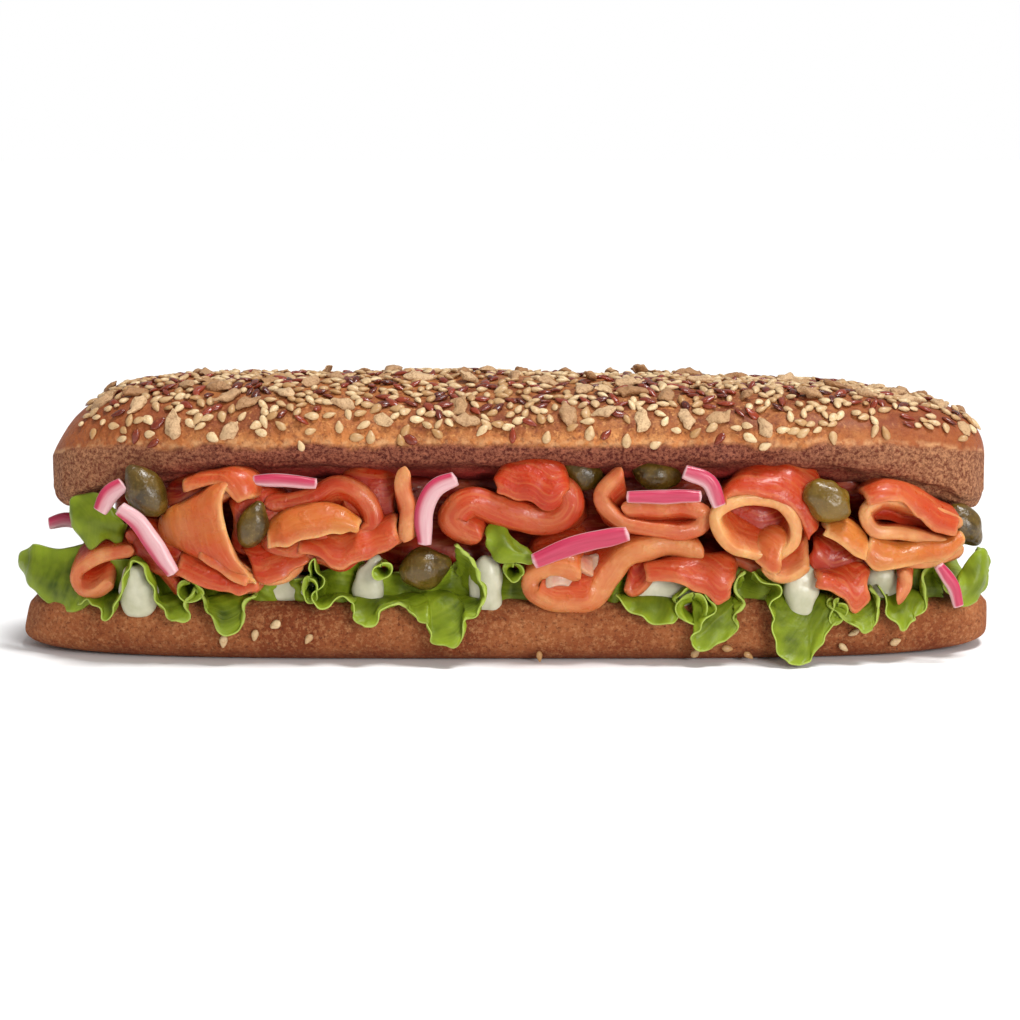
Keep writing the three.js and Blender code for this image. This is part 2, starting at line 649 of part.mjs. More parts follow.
// Onion, caper berries and cream
function onionSolid({ path, y, width }, grow) {
  const middle = spacedPath(path.map(([x, z]) => new THREE.Vector3(x, y, z)), ONION.along);
  const last = middle.length - 1;
  const across = (k) => {
    const tangent = middle[Math.min(k + 1, last)].clone().sub(middle[Math.max(k - 1, 0)]).normalize();
    return new THREE.Vector3(-tangent.z, 0, tangent.x);
  };
  const halfWidth = (k) => (width / 2) * (k === 0 || k === last ? ONION.end : 1);
  const grid = [-1, 0, 1].map((side) =>
    middle.map((point, k) => point.clone().addScaledVector(across(k), side * halfWidth(k))),
  );
  return sheetSolid(grid, ONION.thick, ONION.edge, grow);
}

function caperSolid({ at, length, girth, tilt }, grow) {
  const sides = 8;
  const bands = 5;
  const berry = new THREE.SphereGeometry(1, sides, bands).rotateZ(Math.PI / 2);
  berry.scale(length / 2 + grow, girth / 2 + grow, girth / 2 + grow);
  berry.rotateY(-THREE.MathUtils.degToRad(tilt)).translate(...at);
  return solidOf(berry);
}

function dollopSolid({ at, size }, grow) {
  const sides = 7;
  const bands = 5;
  const halves = size.map((length) => length / 2 + grow);
  return solidOf(new THREE.SphereGeometry(1, sides, bands).scale(...halves).translate(...at));
}

function spreadSolid(grow) {
  const xAt = (i) => SPREAD.halfLength * ((2 * i) / SPREAD.along - 1);
  const pointAt = (i, y) => new THREE.Vector3(xAt(i), y + SPREAD.wave * Math.sin(xAt(i)), SPREAD.height);
  const rows = SPREAD.rows.map((y) => Array.from({ length: SPREAD.along + 1 }, (_, i) => pointAt(i, y)));
  return sheetSolid(rows, SPREAD.thick, 1, grow);
}

// Assembly: pieces placed earlier keep their shape, and later ones are cut clear of them.
function kindOf(table, finish, makeSolid) {
  return table.map((row) => ({ name: row.name, finish, make: (grow) => makeSolid(row, grow) }));
}

const PIECES = [
  { name: "bread_bottom", finish: FINISH.crumb, make: bottomWithMargin, whole: seededBottom },
  { name: "bread_top", finish: FINISH.crust, make: topBread, whole: seededTop },
  ...kindOf(CAPERS, FINISH.caper, caperSolid),
  ...kindOf(ONIONS, FINISH.onion, onionSolid),
  ...kindOf(LEAVES, FINISH.leaf, leafSolid),
  ...kindOf(BLADES, FINISH.leaf, bladeSolid),
  ...kindOf(FOLDS, FINISH.salmon, foldSolid),
  { name: "salmon_bed", finish: FINISH.salmon, make: bedSolid },
  ...kindOf(DOLLOPS, FINISH.cream, dollopSolid),
  { name: "cream_spread", finish: FINISH.cream, make: spreadSolid },
];

function boxesMeet(a, b) {
  return [0, 1, 2].every((axis) => a.min[axis] < b.max[axis] && b.min[axis] < a.max[axis]);
}

function meshOf(name, solid, finish) {
  const geometry = geometryOf(solid);
  geometry.computeBoundingBox();
  const middle = geometry.boundingBox.getCenter(new THREE.Vector3());
  geometry.translate(-middle.x, -middle.y, -middle.z);
  geometry.computeVertexNormals();
  const mesh = new THREE.Mesh(geometry, new THREE.MeshStandardMaterial(finish));
  mesh.name = name;
  mesh.position.copy(middle);
  return mesh;
}

function assemble() {
  const sandwich = new THREE.Group();
  const placed = [];
  for (const { name, finish, make, whole = () => make(0) } of PIECES) {
    let solid = whole();
    for (const other of placed) {
      if (boxesMeet(solid.boundingBox(), other.boundingBox())) solid = solid.subtract(other);
    }
    placed.push(make(GAP));
    sandwich.add(meshOf(name, largestBody(solid), finish));
  }
  return sandwich;
}

// Moves the sandwich so that the middle of its footprint is the origin.
function centred(sandwich) {
  const box = new THREE.Box3().setFromObject(sandwich);
  const middle = box.getCenter(new THREE.Vector3());
  sandwich.position.set(-middle.x, -middle.y, -box.min.z);
  return sandwich;
}

export default centred(assemble());
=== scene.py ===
# A long seeded roll filled with lettuce, cream, folded smoked salmon, pickled onion and caper berries.
# Shapes are worked out in millimetres, +Z up, and turned into metres where each mesh is made.
# -Y faces the camera, and a side is -1 for the front and 1 for the back.
import math

import bmesh
import bpy
import numpy as np
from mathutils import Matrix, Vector


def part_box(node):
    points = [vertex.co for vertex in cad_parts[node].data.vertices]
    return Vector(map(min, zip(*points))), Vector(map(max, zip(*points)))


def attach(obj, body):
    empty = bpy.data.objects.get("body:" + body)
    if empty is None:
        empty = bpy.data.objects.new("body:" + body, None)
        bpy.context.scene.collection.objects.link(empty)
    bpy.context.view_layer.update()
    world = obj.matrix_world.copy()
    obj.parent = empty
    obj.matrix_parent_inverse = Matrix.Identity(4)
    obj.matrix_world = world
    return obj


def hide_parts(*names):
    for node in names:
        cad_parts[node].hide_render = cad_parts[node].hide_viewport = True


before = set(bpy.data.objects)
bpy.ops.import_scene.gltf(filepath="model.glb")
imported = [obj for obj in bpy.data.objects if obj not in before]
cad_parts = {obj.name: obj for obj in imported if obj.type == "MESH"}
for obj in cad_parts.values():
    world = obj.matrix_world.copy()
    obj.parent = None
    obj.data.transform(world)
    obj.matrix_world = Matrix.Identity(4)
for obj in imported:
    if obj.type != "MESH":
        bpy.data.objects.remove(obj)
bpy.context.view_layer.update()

METRES = 0.001
MERGE = 1e-6  # points closer than this, in metres, become one

# Camera, as far as the photograph tells
LENS = 100.0
SENSOR = 36.0
ELEVATION = math.radians(9)
DISTANCE = 820.0
TARGET = (1.8, -10.0, 39.2)

# Studio, with its places in metres
FLOOR_HALF = 4.0
WORLD_LIGHT = 0.42
SUN = dict(place=(0.3, -0.06, 1.0), aim=(0, 0, 0), power=2.6, angle=math.radians(16))
LAMP = dict(place=(0.45, -0.9, 0.3), aim=(0, 0, 0.04), power=5.5, size=0.3)

# Numbers that mix the cells of the noise, and points between two knots of a curve
CELL_PRIMES = (374761393, 668265263, 2147483647)
SEED_PRIME = 974711
MIX_PRIME = 1274126177
CURVE_STEPS = 24

# The two halves of the roll. Lumps are layers of noise: height, size and seed.
BOTTOM = dict(half_length=141, half_depth=38, top=17.5, tip_z=8, plan=3.5, profile=5, left_lean=4)
BOTTOM_SIDE = [(0, 0), (0.84, 0), (0.94, 0.1), (1, 0.42), (0.98, 0.8), (0.9, 0.97), (0.45, 1), (0, 1)]
TOP = dict(
    left=-131, right=139, half_depth=38, crown=78.5, crown_fall=3.5, crust=59.8, under=56.5,
    under_drop=20, under_power=7, tip_z=53, plan=3.5, crown_profile=3.8, lip_profile=5,
    side_power=0.85, dome_power=0.8, left_lean=11,
)
TOP_MIDDLE = (TOP["left"] + TOP["right"]) / 2
TOP_HALF = (TOP["right"] - TOP["left"]) / 2
# share of the depth, and height over the underside, from the crust's edge inwards
TOP_LOWER = [(0.99, 1.8), (0.97, 0.4), (0.86, -1.6), (0.5, -6), (0, -6)]
CRUST_LUMPS = [(0.9, 24, 3), (0.45, 9, 4), (0.16, 3, 5)]
EDGE_LUMPS = [(0.6, 9, 21), (0.4, 3, 22)]
LOWER_LUMPS = [(0.7, 14, 31), (0.45, 4, 32), (0.2, 1.6, 33)]
END_STATION = 0.9999  # the last ring stands just short of the tip
SLOPE_STEP = 0.004  # share and angle over which the crust's slope is taken
TOP_STATIONS, TOP_ANGLES, LIP_STEPS = 330, 96, 26
BOTTOM_STATIONS, BOTTOM_STEPS = 300, 52

# Seeds on the crust
SEED_SUNK = 0.12
SEED_TRIES = 40000
SEEDED = [(62, 67, 0.12), (68, 73.5, 0.865)]  # heights over which seeds get more likely, and by how much
LEAST_SEEDED = 0.015
SEED_END = 0.985  # share of the roll's length that may hold seeds
SEED_EDGE = 0.05  # angle at the crust's edge without any
BARE_END = (-124, -108)  # x between which the seeds begin
# Kernels that stand out on the shown side, as (x, angle in degrees, spin in degrees)
SHOWN_KERNELS = [
    (-105, 64, 20), (-92, 20, 60), (-76, 15, 10), (-45, 40, 170), (-24, 79, 0), (-10, 77, 30), (12, 76, 170),
    (36, 72, 30), (46, 53, 80), (51, 28, 100), (57, 86, 10), (73, 19, 95), (87, 56, 0), (68, 52, 150),
    (25, 86, 60), (-62, 53, 140), (116, 74, 20), (126, 82, 70),
]
# x and z of the seeds that stuck to the lower bread
LOOSE_SEEDS = [
    (-79, 6), (-70, 8), (-64, 11), (-55, 7), (10, 2), (54, 3), (63, 4), (69, 2), (96, 4), (99, 8), (111, 5),
]

# Smoked salmon: each path is the middle of a slice as its front edge shows, in (x, z), and out is how far
# that edge stands in front of the bread. A fold without a depth runs right through to the back.
SALMON_THICK = 4.6
FOLD_SHOULDER = 13
PINCH = 0.86  # how far a fold draws in behind its front edge
FRONT_SPACE = (29, 43)
BACK_SPACE = (26, 53)
BACK_OUT = 1
# The folds drift aside and up or down as they run back: how far, in waves of these lengths.
DRIFT = dict(aside=9, swing=3, swing_length=19, rise=2.5, rise_length=13)
FOLD_FADE = 0.65  # painted shade: a fold's colour gets darker towards its inside, away from its shown edges
RIM_THICK = 5.4  # thicker slices than this show less of a pale rim, which is partly painted highlight
RIM_ROUND = 0.2  # shares of the thickness over which a slice rounds off at its shown edge and at its ends
END_ROUND = 0.4
# A fold's tone runs its flesh from deep red to pale orange: partly its own colour, partly painted light and
# shade. The low tones of the folds set back behind or under others are painted shade.
FOLDS = {
    "salmon_big_roll": dict(tone=1.0, out=4, rise=7, thick=4.4, path=[
        (74, 30), (69, 31), (64, 33), (60, 37), (59, 42), (63, 46), (70, 47), (77, 45), (81, 40), (81, 34),
        (77, 30), (74, 27), (77, 24), (82, 25), (86, 28)]),
    "salmon_calla": dict(
        tone=0.75, out=3, thick=3.4,
        path=[(-71, 53), (-75, 50), (-79, 47), (-79, 41), (-76, 34), (-73, 28), (-67, 24), (-61, 24),
              (-56, 28)],
        inner=[(-84, 47), (-91, 46), (-95, 42), (-95, 36), (-92, 31), (-87, 27), (-80, 26), (-73, 26),
               (-66, 28)]),
    "salmon_pretzel": dict(tone=0.4, out=1, thick=9.4, rise=2, path=[
        (0, 49), (2, 52), (7, 54), (13, 53), (18, 50), (19, 45), (17, 41), (11, 40), (4, 42), (-3, 45),
        (-9, 47), (-13, 45), (-15, 41), (-12, 38), (-6, 36)]),
    "salmon_long_fold": dict(tone=0.9, out=2, thick=7.6, rise=1, path=[
        (56, 30), (48, 33), (40, 32), (34, 29), (30, 23), (26, 17), (20, 16), (13, 16), (8, 19), (8, 24),
        (13, 26), (22, 24)]),
    "salmon_hook_loop": dict(tone=0.45, out=1, thick=5.2, path=[
        (33, 56), (29, 52), (27, 48), (29, 44), (34, 40), (42, 38), (50, 37), (55, 39), (56, 43), (51, 45),
        (42, 44), (33, 45)]),
    "salmon_right_loop": dict(tone=0.8, out=3, thick=4.6, path=[
        (129, 38), (121, 42), (112, 46), (105, 47), (101, 43), (103, 38), (110, 37), (117, 35), (125, 32)]),
    "salmon_roll_left": dict(tone=0.55, out=3, path=[
        (-104, 32), (-111, 31), (-118, 28), (-122, 24), (-121, 20), (-116, 19), (-111, 22)]),
    "salmon_loop_upper": dict(tone=0.35, out=0, rise=1, thick=6, path=[
        (-67, 45), (-60, 46), (-54, 48), (-47, 52), (-41, 50), (-37, 44), (-36, 39), (-40, 37)]),
    "salmon_loop_arm": dict(tone=0.4, out=2, thick=6.4, path=[
        (-43, 38), (-48, 41), (-56, 42), (-63, 39), (-66, 34), (-61, 31), (-55, 34), (-49, 36)]),
    "salmon_flap": dict(tone=0.4, out=1, rise=4, path=[
        (-58, 31), (-51, 29), (-46, 27), (-41, 30), (-34, 33), (-28, 36)]),
    "salmon_upright": dict(tone=0.7, out=2, thick=5.4, path=[(-27, 56), (-28, 52), (-27, 44), (-28, 35)]),
    "salmon_pleat": dict(out=0, thick=3.4, depth=16, path=[
        (-92, 28), (-85, 24), (-77, 20), (-70, 20), (-69, 23), (-76, 25), (-82, 28), (-87, 32)]),
    "salmon_flank": dict(tone=0.2, out=1, rise=3, path=[(-106, 37), (-102, 31), (-96, 24), (-91, 19)]),
    "salmon_top_fold": dict(tone=-0.1, out=-6, thick=4, depth=26, path=[
        (-98, 43), (-91, 48), (-83, 51), (-77, 50)]),
    "salmon_right_flap": dict(tone=0.9, out=3, thick=5, path=[
        (102, 32), (107, 28), (114, 28), (122, 29), (129, 32)]),
    "salmon_low_fold": dict(out=2, thick=4.2, path=[(43, 25), (49, 27), (55, 27), (61, 24), (61, 19)]),
    "salmon_tongue": dict(out=2, thick=5.4, depth=20, path=[(87, 24), (92, 22), (96, 20), (99, 16)]),
    "salmon_dark_fold": dict(tone=0.15, out=-3, thick=4, depth=20, path=[
        (87, 33), (93, 33), (99, 30), (102, 26), (96, 25), (90, 27)]),
    "salmon_strip": dict(tone=0.95, out=3, thick=3.4, depth=18, path=[(90, 38), (96, 37), (102, 33)]),
    "salmon_wedge": dict(out=5, thick=4.4, depth=20, path=[(113, 26), (113, 21), (111, 16)]),
    "salmon_back_sheet": dict(tone=0.1, out=-9, thick=3.6, path=[
        (-36, 48), (-32, 45), (-31, 40), (-34, 34)]),
}
# Smaller turns of the same slices: they stand in the mouths of the folds above.
SMALL_FOLDS = {
    "long_fold_flesh": dict(out=1, thick=2.2, depth=8, pale=0.9, path=[
        (11, 21), (16, 22), (21, 21), (28, 24)]),
    "small_hook": dict(out=0, thick=3, depth=10, path=[(41, 28), (42, 24), (39, 20), (36, 19), (34, 21)]),
    "pale_flap": dict(out=1, thick=2.4, depth=8, pale=0.5, path=[(19, 30), (21, 27), (25, 24)]),
    "low_sheet": dict(out=-3, thick=4, depth=18, path=[(62, 29), (67, 27), (73, 24)]),
}
# Slices that turn a broad face to the front: lower and upper edge as (x, out, z), and tone. The low tones of
# the walls and of the slices set behind are painted shade.
FACES = {
    "calla_face": (
        [(-74, 3, 53), (-77, 5, 50), (-78, 6, 45), (-77, 6, 39), (-75, 6, 33), (-71, 6, 27), (-67, 5, 23)],
        [(-78, 0, 52), (-82, 1, 49), (-88, 1, 45), (-94, 1, 41), (-94, 1, 36), (-88, 2, 32), (-80, 2, 29),
         (-73, 2, 25)], 0.95),
    "calla_hook": (
        [(-89, 2, 49), (-82, 3, 51), (-78, 4, 50), (-75, 4, 46)],
        [(-90, -1, 51), (-82, -1, 53), (-75, 0, 54), (-70, 0, 52), (-69, 1, 47)], 0.7),
    "calla_inside": (
        [(-68, 4, 23), (-62, 4, 24), (-58, 3, 27), (-54, 2, 29)],
        [(-74, -3, 34), (-68, -4, 35), (-62, -4, 33), (-55, -3, 32)], 0.45),
    "calla_heart": (
        [(-76, -1, 31), (-68, -2, 30), (-60, -3, 34)],
        [(-76, -3, 48), (-69, -4, 49), (-62, -5, 46)], 0.35),
    "calla_behind": (
        [(-95, -3, 40), (-85, -3, 45), (-75, -4, 46)],
        [(-94, -6, 49), (-85, -6, 53), (-74, -6, 54)], -0.3),
    "pleat_upper": (
        [(-85, 6, 31), (-80, 6, 28), (-76, 6, 25), (-72, 6, 23)],
        [(-85, 3, 34), (-80, 3, 32), (-75, 3, 28), (-70, 3, 25)], 0.7),
    "pleat_lower": (
        [(-92, 4, 26), (-87, 5, 24), (-81, 5, 21), (-75, 5, 20), (-68, 5, 21)],
        [(-90, 1, 31), (-84, 1, 30), (-80, 1, 28), (-75, 1, 25), (-68, 2, 23)], 0.6),
    "loop_arm": (
        [(-66, 4, 33), (-61, 5, 34), (-57, 5, 36), (-50, 5, 37), (-45, 4, 38), (-40, 3, 38)],
        [(-66, 1, 38), (-61, 1, 42), (-56, 1, 44), (-49, 1, 44), (-43, 1, 42), (-40, 1, 40)], 1.0),
    "flap": (
        [(-57, 3, 31), (-51, 4, 31), (-48, 4, 28), (-45, 4, 27), (-42, 4, 29), (-36, 3, 31), (-29, 2, 34)],
        [(-57, 0, 35), (-49, 0, 36), (-38, -1, 37), (-30, -2, 42)], 0.55),
    "loop_wall": (
        [(-45, -4, 40), (-38, -5, 38), (-31, -5, 38)],
        [(-46, -6, 52), (-38, -7, 53), (-31, -7, 51)], 0.1),
    "pretzel": (
        [(-1, 1, 49), (4, 1, 47), (9, 1, 46), (13, 1, 44), (16, 1, 46)],
        [(-2, -1, 52), (1, -2, 55), (8, -2, 57), (15, -1, 55), (18, 0, 50)], 0.35),
    "roll_top": (
        [(61, 4, 44), (66, 4, 48), (72, 4, 48), (79, 3, 45), (83, 3, 40), (85, 3, 35)],
        [(62, 0, 48), (68, -4, 53), (76, -5, 55), (85, -5, 54), (88, -3, 47), (88, -1, 38)], 0.36),
    "roll_wall": (
        [(59, -4, 36), (64, -4, 31), (70, -4, 29), (78, -4, 31)],
        [(60, -6, 43), (66, -6, 47), (74, -6, 47), (81, -6, 42)], 0.15),
    "roll_flap": ([(70, 2, 30), (73, 4, 27), (76, 4, 25)], [(71, -1, 35), (75, 0, 37), (79, 1, 36)], 0.9),
    "right_loop": (
        [(102, 3, 45), (109, 4, 46), (115, 4, 42), (122, 4, 37), (127, 4, 35)],
        [(100, 0, 48), (107, 0, 50), (115, 0, 48), (122, 0, 44), (129, 0, 40)], 0.6),
    "right_loop_wall": (
        [(101, -3, 40), (112, -4, 39), (121, -4, 35)],
        [(102, -5, 46), (112, -5, 47), (121, -5, 42)], 0.1),
    "right_flap": (
        [(100, 4, 29), (104, 5, 27), (110, 5, 27), (118, 4, 28), (124, 4, 29), (130, 3, 33)],
        [(103, 1, 36), (109, 1, 33), (115, 1, 33), (119, 1, 34), (125, 1, 34), (130, 0, 37)], 1.1),
    "tongue": (
        [(87, 5, 23), (92, 6, 21), (95, 6, 18), (98, 6, 14), (102, 5, 17)],
        [(87, 1, 26), (92, 1, 26), (98, 1, 27), (102, 1, 26)], 0.5),
    "dark_fold": (
        [(85, 0, 29), (91, 0, 24), (101, 0, 27)],
        [(88, -3, 35), (95, -3, 35), (101, -3, 31)], 0.15),
    "low_fold": (
        [(40, 3, 24), (46, 4, 24), (52, 4, 22), (57, 4, 20), (60, 4, 17), (63, 3, 18)],
        [(40, 0, 28), (50, 0, 29), (57, 0, 29), (63, 0, 29), (65, 0, 26)], 0.6),
    "strip": (
        [(89, 4, 36), (93, 5, 35), (97, 5, 32), (101, 5, 29)],
        [(90, 1, 39), (95, 1, 39), (99, 1, 37), (102, 1, 34)], 1.1),
    "flank": (
        [(-104, 0, 30), (-98, 1, 25), (-90, 1, 24)],
        [(-105, -2, 38), (-98, -2, 38), (-90, -3, 36)], 0.1),
}
BACK_FACES = [
    "calla_face", "pleat_lower", "loop_arm", "flap", "loop_wall", "pretzel", "roll_top", "roll_wall",
    "low_fold", "tongue",
]
FACE_BULGE = 1.8
FACE_THICK = 2.6
FACE_TUCK = 9  # how far such a slice runs back over its upper edge
# Slices that close the inside of the filling, a little behind the front and the back.
CURTAIN = dict(low=24, high=57, thick=4, inset=17, fold=3.5, fold_length=15, left=-112, right=124)
BED = dict(height=24.6, thick=2.8, left=-108, right=112, inset=12, depth=18, wave=0.7, wave_length=9)

# Lettuce: front rims of the leaves as (x, out, z).
LEAF_THICK = 0.45
LEAF_COLUMNS = 210
LEAF_BED = dict(height=18.3, inset=11)
LEAF_BACK = dict(out=3, height=13, wave=4, wave_length=3.1)
# A second row of leaf that stands up behind the first.
INNER_LEAF = dict(low=15, high=26, rise=4, inset=5, sway=2.6, left=-120, right=126)
LEAVES = {
    "lettuce_left": [
        (-121, 2, 16), (-116, 5, 17), (-113, 6, 13), (-110, 6, 14), (-108, 6, 20), (-106, 6, 26),
        (-103, 6, 30), (-100, 6, 28), (-98, 6, 22), (-97, 5, 17), (-94, 5, 13), (-90, 6, 13), (-88, 4, 18),
        (-86, 2, 22), (-84, 3, 19), (-81, 6, 14), (-77, 7, 10), (-74, 6, 11), (-72, 4, 16), (-70, 2, 20)],
    "lettuce_middle": [
        (-56, 0, 20), (-54, 3, 26), (-52, 4, 31), (-51, 3, 26), (-53, 5, 19), (-50, 6, 17), (-47, 4, 19),
        (-43, 3, 18), (-42, 5, 14), (-38, 7, 11), (-33, 5, 16), (-28, 3, 18), (-25, 5, 14), (-21, 6, 12),
        (-19, 7, 7), (-15, 8, 6), (-12, 7, 8), (-10, 6, 13), (-7, 5, 15), (-5, 4, 19), (-8, 2, 28),
        (-13, 1, 34)],
    "lettuce_centre": [
        (31, 0, 20), (35, 3, 17), (41, 5, 13), (48, 5, 12), (50, 3, 16), (48, 2, 19), (52, 4, 22),
        (57, 5, 20), (59, 5, 16), (56, 6, 13), (53, 6, 8), (55, 7, 5), (60, 6, 6), (64, 5, 8), (65, 4, 13),
        (67, 3, 17), (65, 2, 22), (67, 1, 26)],
    "lettuce_right": [
        (70, 1, 25), (76, 4, 22), (74, 5, 17), (76, 6, 12), (76, 8, 6), (80, 9, 1), (84, 9, 1), (87, 8, 4),
        (90, 7, 8), (94, 5, 13), (95, 3, 17), (92, 2, 19), (91, 4, 16), (95, 6, 14), (98, 7, 11),
        (101, 8, 9), (105, 7, 13), (105, 5, 18), (103, 3, 22)],
    "lettuce_end": [
        (105, 3, 22), (108, 4, 18), (110, 6, 12), (112, 6, 9), (115, 5, 11), (119, 3, 17), (118, 2, 23),
        (121, 1, 27), (124, 3, 23), (128, 5, 18), (132, 4, 19), (134, 3, 25), (135, 2, 31)],
}
# Leaf tips that stand clear of the bed, between two rims of (x, y, z).
BLADE_BOW = 2
BLADES = {
    "lettuce_outer": (
        [(-139, -13, 23), (-136, -20, 18), (-130, -25, 14), (-124, -28, 13), (-116, -30, 14)],
        [(-139, -12, 28), (-134, -18, 30), (-127, -22, 30), (-121, -24, 31), (-114, -26, 32)]),
    "lettuce_shoulder": (
        [(-120, -27, 34), (-117, -30, 31), (-112, -30, 34), (-108, -31, 33), (-105, -30, 37)],
        [(-124, -25, 40), (-123, -26, 45), (-118, -27, 47), (-113, -28, 46), (-109, -29, 42)]),
    "lettuce_peak": (
        [(-5, -38, 31), (-1, -41, 29), (4, -41, 29), (9, -38, 28)],
        [(-5, -36, 41), (-2, -36, 41), (3, -38, 35), (9, -38, 31)]),
}
EXTRA_BLADES = {
    "end_tip": (
        [(127, -31, 16), (132, -31, 15), (138, -26, 20)],
        [(130, -29, 27), (135, -28, 31), (139, -25, 29)]),
}
# Rolled tips of leaf whose mouths face forwards: x, how far out, z, radius and how much lower than wide.
# Those at the back turn the other way.
CURLS = {
    "curl_left": (-88, 4, 21, 3.2, 0.8),
    "curl_narrow": (-54, 4, 22, 2.6, 1.3),
    "curl_small": (-34, 5, 27, 2.4, 1.0),
    "curl_shaded": (3, 1, 26, 3.2, 0.8),
    "curl_big": (53, 5, 16, 4.5, 1.0),
    "curl_right": (94, 5, 15, 2.4, 1.5),
}
BACK_CURLS = {
    "back_curl_left": (-96, 3, 17, 3.0, 1.0),
    "back_curl_middle": (-20, 3, 18, 3.4, 0.9),
    "back_curl_big": (8, 3, 17, 4.2, 1.0),
    "back_curl_right": (104, 3, 19, 2.6, 1.3),
}
CURL_MOUTH = 3
CURL_LENGTH = 12
BLADE_CORNER = 0.2  # share of the length over which a blade or a broad face rounds off

# Pickled onion strips: depth y, width, share that is skin, and path of (x, z).
ONION_THICK = 2.2
STRIP_STEPS, STRIP_SIDES = 60, 40
ONIONS = {
    "onion_top_left": (-38, 5.2, 0.45, [(-113, 43), (-110, 48), (-106, 51)]),
    "onion_long": (-42, 5.0, 0.4, [(-92, 26), (-97, 34), (-102, 41), (-107, 45)]),
    "onion_tip": (-14, 4.2, 0.6, [(-131, 36), (-126, 37), (-118, 35)]),
    "onion_flat": (-38, 3.8, 0.6, [(-70, 52), (-62, 52), (-52, 51)]),
    "onion_curved": (-40, 5.4, 0.4, [(-22, 34), (-22, 44), (-19, 50), (-13, 53)]),
    "onion_front": (-44, 5.4, 0.95, [(8, 30), (21, 35), (35, 38)]),
    "onion_bar": (-42, 4.0, 0.85, [(34, 48), (44, 48), (55, 48)]),
    "onion_arc": (-41, 5.0, 0.6, [(50, 55), (57, 52), (60, 45)]),
    "onion_end": (-37, 4.0, 0.7, [(122, 28), (126, 22), (128, 16)]),
    "onion_back_right": (40, 4.2, 0.5, [(62, 44), (74, 47), (86, 43)]),
}

# Caper berries: centre, length, girth, and tilt in degrees from X towards +Z.
CAPER_LUMPS = [(0.45, 5, 100), (0.16, 1.8, 101)]
CAPERS = {
    "caper_left": ((-100, -37, 49), 17, 10.5, 125),
    "caper_fold": ((-70, -40, 40), 13.5, 8.5, 70),
    "caper_leaf": ((-22, -37, 27), 15, 11.5, 15),
    "caper_middle": ((22, -31, 53), 14, 9, -25),
    "caper_right": ((43, -32, 53), 14, 9, -12),
    "caper_lump": ((91, -39, 46), 13.5, 10.5, -35),
    "caper_end": ((131, -24, 37), 14, 9.5, -50),
    "caper_back_middle": ((22, 39, 40), 14, 10, 100),
}

# Cream: centre and full size of each dollop.
CREAM_SMEAR = (1.0, 0.75, 1.1)  # factors on a dollop's size along x, y and z
CREAM_BACK = 5.2  # how far a dollop lies behind its centre
CREAM_MARGIN = 5
DOLLOPS = {
    "cream_left": ((-103, -39, 21), (9, 8, 13)),
    "cream_flat": ((-62, -36, 20), (15, 8, 7)),
    "cream_curl": ((-38, -40, 22), (9, 8, 14)),
    "cream_centre": ((-5, -40, 21), (8, 9, 14)),
    "cream_right": ((45, -39, 19), (17, 9, 11)),
    "cream_drop": ((84, -41, 19), (7, 8, 14)),
    "cream_end": ((107, -36, 22), (8, 7, 8)),
    "cream_back_right": ((40, 39, 20), (18, 8, 12)),
}

# The part is moved so that its footprint is centred; a berry that nothing cuts shows by how much.
berry_low, berry_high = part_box("caper_leaf")
SHIFT = ((berry_low + berry_high) / 2 / METRES).y - CAPERS["caper_leaf"][0][1]


# Numbers and curves
def lattice(cells, seed):
    """Repeatable values from 0 to 1, one for each whole-numbered cell."""
    mixed = (cells * CELL_PRIMES).sum(axis=-1) + seed * SEED_PRIME
    mixed = (mixed ^ (mixed >> 13)) * MIX_PRIME
    return ((mixed ^ (mixed >> 16)) & 0xFFFF) / 0xFFFF


def noise(points, scale, seed):
    """Smooth noise from -1 to 1 over points in millimetres, with features of the scale's size."""
    places = np.asarray(points, float) / scale
    cells = np.floor(places).astype(np.int64)
    share = places - cells
    share = share * share * (3 - 2 * share)
    total = 0
    for corner in np.ndindex(2, 2, 2):
        weight = np.prod(np.where(corner, share, 1 - share), axis=-1)
        total = total + weight * lattice(cells + np.array(corner), seed)
    return total * 2 - 1


def layered_noise(points, layers, index=0):
    """Noises on top of each other, given as (height, scale, seed)."""
    return sum(height * noise(points, scale, seed + index) for height, scale, seed in layers)


def noise_vector(points, scale, seeds, index=0):
    """Noise in each direction, with one scale or three."""
    pairs = zip(np.broadcast_to(scale, 3), seeds)
    return np.stack([noise(points, size, seed + index) for size, seed in pairs], -1)


def grid_of(*arrays):
    """Points of a grid from their x, y and z, which may be a row, a column or one number."""
    return np.stack(np.broadcast_arrays(*arrays), -1)


def round_share(t, power):
    return np.maximum(0, 1 - np.abs(t) ** power) ** (1 / power)


def ramp(value, low, high):
    share = np.clip((value - low) / (high - low), 0, 1)
    return share * share * (3 - 2 * share)


def rounding(distance, radius):
    """Rises from 0 at a rim to 1 at the radius from it, along a quarter of a circle."""
    share = np.clip(distance / np.maximum(radius, 1e-6), 0, 1)
    return np.sqrt(np.maximum(0, 1 - (1 - share) ** 2))


def boxy(direction, power):
    return np.sign(direction) * np.abs(direction) ** power


def normalised(vectors):
    return vectors / np.maximum(np.linalg.norm(vectors, axis=-1, keepdims=True), 1e-9)


def bread_edge(x):
    """Half the depth of the lower bread at x."""
    share = np.minimum(1, np.abs(x) / BOTTOM["half_length"])
    return BOTTOM["half_depth"] * round_share(share, BOTTOM["plan"])


